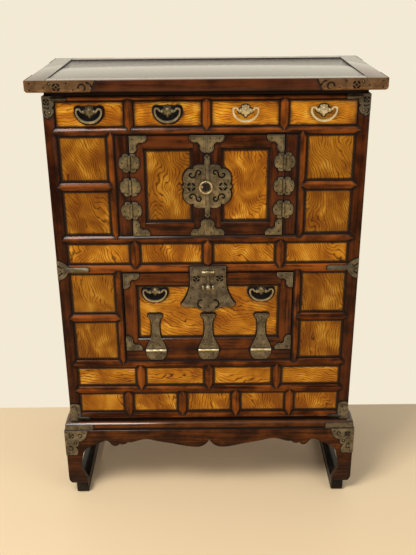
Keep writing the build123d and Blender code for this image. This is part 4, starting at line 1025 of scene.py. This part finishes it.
fitting(sill_barrels, "sill_hinge_barrels", "carcass", "bright_brass")

low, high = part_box("flap_corner_plates")
flap_sides = ((low.x / MM, 1), (high.x / MM, -1))
flap_ends = ((low.z / MM, 1), (high.z / MM, -1))
plates = corner_plates(flap_sides, flap_ends, pewter_brass)
fitting(plates, "flap_corners", "flap", "aged_brass", "flap_corner_plates")

# ------------------------------------------------------------------ bell plate and hasp
# A bell-shaped plate on the flap whose head steps forward over the rail above it. A hasp with a
# cross barrel and a ball hangs from a pin between two ears.
BELL_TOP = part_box("flap_lock_plate")[1].z / MM
BELL_EDGE = [(43.5, 0, CORNER), (43.3, -42), (46, -62), (53.5, -82), (61, -95), (65.8, -103.5)]
BELL_EDGE += [(60, -107.5), (42, -108.2), (26, -110.5), (18, -116), (9, -120), (0, -121)]
BULL_HORN = [(13.8, -91), (19.3, -89.8), (25.4, -97.7), (24.7, -105.5), (17, -112.5)]
HORN_W = 4.0
BELL_COIN = (28.5, -32, 9.4)
BELL_NAILS = [(-38, -7), (38, -7), (-37, -56), (37, -56), (-44, -84), (44, -84), (0, -106)]
HEAD_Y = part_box("front_rails")[0].y - 0.3 * MM
STEP_LOW = FLAP_HIGH.z - 9.0 * MM
STEP_HIGH = FLAP_HIGH.z - 5.8 * MM
holes = []
for sign in (-1, 1):
    holes.append([(sign * x, z) for x, z in stroke(BULL_HORN, HORN_W)])
    holes += coin(sign * BELL_COIN[0], *BELL_COIN[1:])
holes = [moved(hole, 0, BELL_TOP) for hole in holes]
outline = moved(both_edges(BELL_EDGE), 0, BELL_TOP)
bell = joined(engraved(outline, LEAF_FACE, pewter_brass, holes), "bell")
bpy.ops.object.mode_set(mode="EDIT")
for level in (STEP_LOW, STEP_HIGH):
    bpy.ops.mesh.select_all(action="SELECT")
    bpy.ops.mesh.bisect(plane_co=(0, 0, level), plane_no=(0, 0, 1))
bpy.ops.object.mode_set(mode="OBJECT")
for vertex in bell.data.vertices:
    risen = (vertex.co.z - STEP_LOW) / (STEP_HIGH - STEP_LOW)
    vertex.co.y += (HEAD_Y - LEAF_FACE) * min(max(risen, 0.0), 1.0)
pieces = [bell]
for nail_x, nail_z in BELL_NAILS:
    on_head = BELL_TOP + nail_z > STEP_HIGH / MM
    face_y = (HEAD_Y if on_head else LEAF_FACE) - SHEET
    pieces.append(nail(nail_x, BELL_TOP + nail_z, face_y, 1.6))
fitting(pieces, "flap_bell_plate", "flap", "aged_brass", "flap_lock_plate")

worn_brass = old_brass("worn_brass", (0.24, 0.18, 0.095), (0.85, 0.72, 0.45), 0.32, 0.65)
PIN_HALF = 14.5
PIN_OFF = 3.2
PIN_Z = BELL_TOP - 12.7
EAR_X = 7.6
EAR_TIP = 2.4
PIN_HEAD_L = 2.1
BARREL_Z = PIN_Z - 40
BARREL_HALF = 16
DISC_X = 12.2
DISC_HALF_W = 2.4
NECK_T = 2.6
NECK_HALF = 5.4
BALL_R = 6.2
BALL_SQUEEZE = 0.92
HASP_Y = (HEAD_Y - SHEET) / MM - PIN_OFF


def hasp_bar(start_x, end_x, z, radius, paint, sides=20):
    """A level bar in line with the hasp's pin."""
    return round_bar((start_x, HASP_Y, z), (end_x, HASP_Y, z), radius, paint, sides)


pin = [hasp_bar(-PIN_HALF, PIN_HALF, PIN_Z, 1.8, bright_brass)]
for sign in (-1, 1):
    ear = ((sign * EAR_X, HASP_Y + PIN_OFF, PIN_Z), (sign * EAR_X, HASP_Y - EAR_TIP, PIN_Z))
    pin.append(round_bar(*ear, 1.4, bright_brass))
    pin.append(hasp_bar(sign * (PIN_HALF - PIN_HEAD_L), sign * PIN_HALF, PIN_Z, 2.7, bright_brass))
fitting(pin, "hasp_pin", "flap", "bright_brass")

HASP_NECK = [(NECK_HALF, 2.2, CORNER), (3.0, -5), (2.4, -16), (3.2, -28), (5.2, -36)]
HASP_NECK += [(5.2, -39, CORNER)]
neck_outline = moved(both_edges(HASP_NECK), 0, PIN_Z)
neck_back = (HASP_Y + NECK_T / 2) * MM
hasp = [flat_sheet(neck_outline, neck_back, NECK_T * MM, pewter_brass, rim=0.5 * MM)]
hasp.append(hasp_bar(-NECK_HALF, NECK_HALF, PIN_Z, 2.9, rubbed_brass))
hasp.append(hasp_bar(-BARREL_HALF, BARREL_HALF, BARREL_Z, 3.4, nail_brass, 24))
for middle in (-DISC_X, DISC_X):
    ends = (middle - DISC_HALF_W, middle + DISC_HALF_W)
    hasp.append(hasp_bar(*ends, BARREL_Z, 5.6, rubbed_brass, 24))
bpy.ops.object.select_all(action="DESELECT")
ball_place = Vector((0, HASP_Y, BARREL_Z)) * MM
bpy.ops.mesh.primitive_uv_sphere_add(
    segments=24, ring_count=14, radius=BALL_R * MM, location=ball_place
)
ball = bpy.context.object
bpy.ops.object.transform_apply(location=True)
bpy.ops.object.mode_set(mode="EDIT")
bpy.ops.mesh.select_all(action="SELECT")
bpy.ops.transform.resize(value=(BALL_SQUEEZE, 1, 1), center_override=ball_place)
bpy.ops.object.mode_set(mode="OBJECT")
ball.data.materials.append(worn_brass)
fitting(hasp + [ball], "hasp_bar", "hasp", "aged_brass", "hasp")

# ------------------------------------------------------------------ pulls
# Cast bails with curled horns, hung from two eye posts on a leaf-shaped boss. Two drawers and the
# flap have old ones with a near-black crescent behind them; the other two drawers have newer bright
# ones.
HORN_Y = 9.5
HORN_TOP = 7.7
PULL_PLATE_T = 1.2
BOSS_T = 1.9
BOSS_FIELD_T = 0.8
POST_X = 11.5
BAIL_T = 3.6
FLAP_SQUAT = 0.78
BOSS = [(0, 10.5), (2.8, 10.2), (3.4, 8.2, CORNER), (6.6, 9.4), (8.5, 6.5), (6.8, 4.0, CORNER)]
BOSS += [(10.5, 2.8), (14, -0.5), (16.5, -4.2), (14.0, -6.6), (10, -6.0, CORNER), (8.5, -9.0)]
BOSS += [(4.0, -10.5, CORNER), (3.0, -13.5), (0, -17, CORNER)]
CRESCENT = [(0, -28.6, CORNER), (6, -30.5), (16, -28), (25, -20.5), (31.5, -9), (33, 2), (30.5, 9)]
CRESCENT += [(24, 11), (19, 9.5, CORNER)]
BAIL = [(0, -27), (12, -25), (22, -18.5), (28.5, -8.5), (30, 0), (28.6, 5.2), (24, 7.4), (18.5, 6.4)]
BAIL += [(15.6, 2.5), (12, 1.2), (11, 0), (12, -1.4), (16, -1.8), (18.5, -0.6), (20.4, 2.2), (23, 3.6)]
BAIL += [(25.4, 2.6), (26.2, -1), (24.6, -7.5), (19.5, -14.5), (11, -20), (0, -21.8)]


def pull(label, body, plate, bail, replaced, newer=False, squat=1.0):
    """One pull: boss, posts, a near-black crescent behind an old one, and the bail that swings."""
    paint = bright_brass if newer else rubbed_brass
    cast = bright_brass if newer else olive_brass
    slot = "bright_brass" if newer else "aged_brass"
    low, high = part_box(bail)
    x = (low.x + high.x) / 2 / MM
    z = high.z / MM - HORN_TOP
    face_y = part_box(plate)[1].y
    boss_outline = moved(both_edges(BOSS), x, z, 1, squat)
    rim_y = face_y - BOSS_T * MM
    pieces = [flat_sheet(boss_outline, face_y, BOSS_T * MM, cast, rim=0.4 * MM)]
    if not newer:
        pieces.append(flat_sheet(boss_outline, rim_y + LIFT, LINE_T, black_dirt_and_shade, 0.8 * MM, LIFT))
    field_t = BOSS_FIELD_T * MM
    pieces.append(flat_sheet(boss_outline, rim_y + LIFT, field_t, cast, 1.8 * MM, 0.3 * MM))
    if not newer:
        # A near-black crescent sheet behind an old bail.
        crescent_outline = moved(both_edges(CRESCENT), x, z - 12 * (1 - squat), 1, squat ** 0.3)
        pieces.append(flat_sheet(crescent_outline, face_y, PULL_PLATE_T * MM, black_dirt_and_shade, rim=0.5 * MM))
    pivot_y = face_y / MM - PULL_PLATE_T - HORN_Y
    for sign in (-1, 1):
        post_x = x + sign * POST_X
        post = ((post_x, face_y / MM - PULL_PLATE_T, z), (post_x, pivot_y - 2.6, z))
        pieces.append(round_bar(*post, 2.4, paint, 16))
        pieces.append(nail(post_x, z, (pivot_y - 2.5) * MM, 2.3, paint))
    pieces.append(nail(x, z + 2.5, face_y - 2.6 * MM, 2.8, paint))
    fitting(pieces, f"{label}_plate_cast", body, slot, *replaced)
    bail_outline = moved(both_edges(BAIL), x, z)
    bail_back = (pivot_y + BAIL_T / 2) * MM
    ring = flat_sheet(bail_outline, bail_back, BAIL_T * MM, paint, rim=1.1 * MM)
    fitting([ring], f"{label}_bail_cast", bail, slot, bail)


for number in range(1, 5):
    drawer = f"drawer_{number}"
    plate = f"{drawer}_plate"
    pull(drawer, drawer, plate, f"{drawer}_bail", [plate], newer=number > 2)
for side, replaced in (("left", ["flap_handle_plates"]), ("right", [])):
    bail = f"flap_bail_{side}"
    pull(f"flap_{side}", "flap", "flap_handle_plates", bail, replaced, squat=FLAP_SQUAT)

# ------------------------------------------------------------------ caps and brackets
# Thin brass wrapped round the corners of the top, the carcass and the stand, pierced with coins
# and scrolls whose near-black floors are painted shade as well as dirt, and nailed down.
THIN_SHEET = 1.2 * MM
NAIL_POCKET_R = 2.0
SUNK_NAIL_R = 1.4


def round_hole(x, z, radius):
    """Outline of a round hole, from four points that its curve runs through."""
    return [(x + radius, z), (x, z + radius), (x - radius, z), (x, z - radius)]


def pierced(node, name, paint, holes, nails, eyes):
    """A copy of a CAD plate with holes, sunk nails and bright eyes in holes, given for the right."""
    plate = open_copy(node)
    plate.data.materials.append(paint)
    back_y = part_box(node)[0].y + THIN_SHEET
    holes = holes + [round_hole(x, z, NAIL_POCKET_R) for x, z in nails]
    pierce([plate], [moved(hole, 0, 0, sign) for hole in holes for sign in (-1, 1)], back_y)
    floor_y = back_y - POCKET_FLOOR
    heads = []
    for sign in (-1, 1):
        heads += nailed(moved(nails, 0, 0, sign), floor_y, SUNK_NAIL_R)
        heads += nailed(moved(eyes, 0, 0, sign), floor_y, SUNK_NAIL_R, rubbed_brass)
    fitting([plate] + heads, name, "carcass", "aged_brass", node)


cap_brass = old_brass("cap_brass", (0.150, 0.078, 0.034), (0.38, 0.225, 0.11))
C_SCROLL = [(279.0, 1088.2), (277.3, 1094.3), (271.6, 1097.0), (265.9, 1094.3), (264.2, 1088.2)]
C_SCROLL += [(267.9, 1083.0), (273.5, 1082.3)]
CAP_EYE = (341.5, 1098.5)
cap_holes = coin(327, 1091.4, 9.2) + [stroke(C_SCROLL, 3.2), round_hole(*CAP_EYE, 3.4)]
cap_holes.append(stroke([(262, 1101), (254, 1098), (249, 1090)], 2.4))
cap_nails = [(354.6, 1090.5), (290.8, 1085.5), (385, 1086), (385, 1100), (305, 1100)]
pierced("top_corner_caps", "top_caps_pierced", cap_brass, cap_holes, cap_nails, [CAP_EYE])

WAIST = 651.8
UPPER_EYE = (350.4, 1032.7)
LOWER_EYE = (356.5, 248)
bracket_holes = coin(355.5, 1056, 7.6) + [round_hole(*UPPER_EYE, 3.6)]
bracket_holes += [stroke([(362, 1045), (356, 1042.5), (349, 1044)], 2.0)]
bracket_holes += [stroke([(359.5, 1037), (361, 1030), (357, 1026)], 1.8)]
bracket_holes += [round_hole(350.9, WAIST + 8.5, 1.8), round_hole(346.8, WAIST - 11, 1.8)]
bracket_holes += [stroke([(363.8, WAIST + 12), (358, WAIST + 9), (354, WAIST + 4)], 2.6)]
bracket_holes += [stroke([(363.2, WAIST - 14), (358, WAIST - 10), (353.5, WAIST - 5)], 2.6)]
bracket_holes += [stroke([(361, 262), (355, 266), (349, 261), (351, 256)], 2.0)]
bracket_holes += [round_hole(*LOWER_EYE, 3.4)]
bracket_nails = [(345, 1065), (351.5, 1023), (357.5, WAIST - 1), (345.5, 240)]
bracket_eyes = [UPPER_EYE, LOWER_EYE]
name = "frame_brackets_pierced"
pierced("frame_brackets", name, pewter_brass, bracket_holes, bracket_nails, bracket_eyes)

STAND_EYE = (356.5, 162)
stand_holes = coin(366, 184, 8.0) + [round_hole(*STAND_EYE, 4.6)]
stand_holes += [stroke([(348, 187), (341, 190), (338, 183), (344, 180)], 2.2)]
stand_holes += [stroke([(374, 152), (367, 150), (364, 144), (369, 139), (375, 142)], 2.2)]
stand_nails = [(331, 192), (378.5, 195), (377, 162), (375, 130)]
pierced("stand_brass", "stand_brass_pierced", pewter_brass, stand_holes, stand_nails, [STAND_EYE])
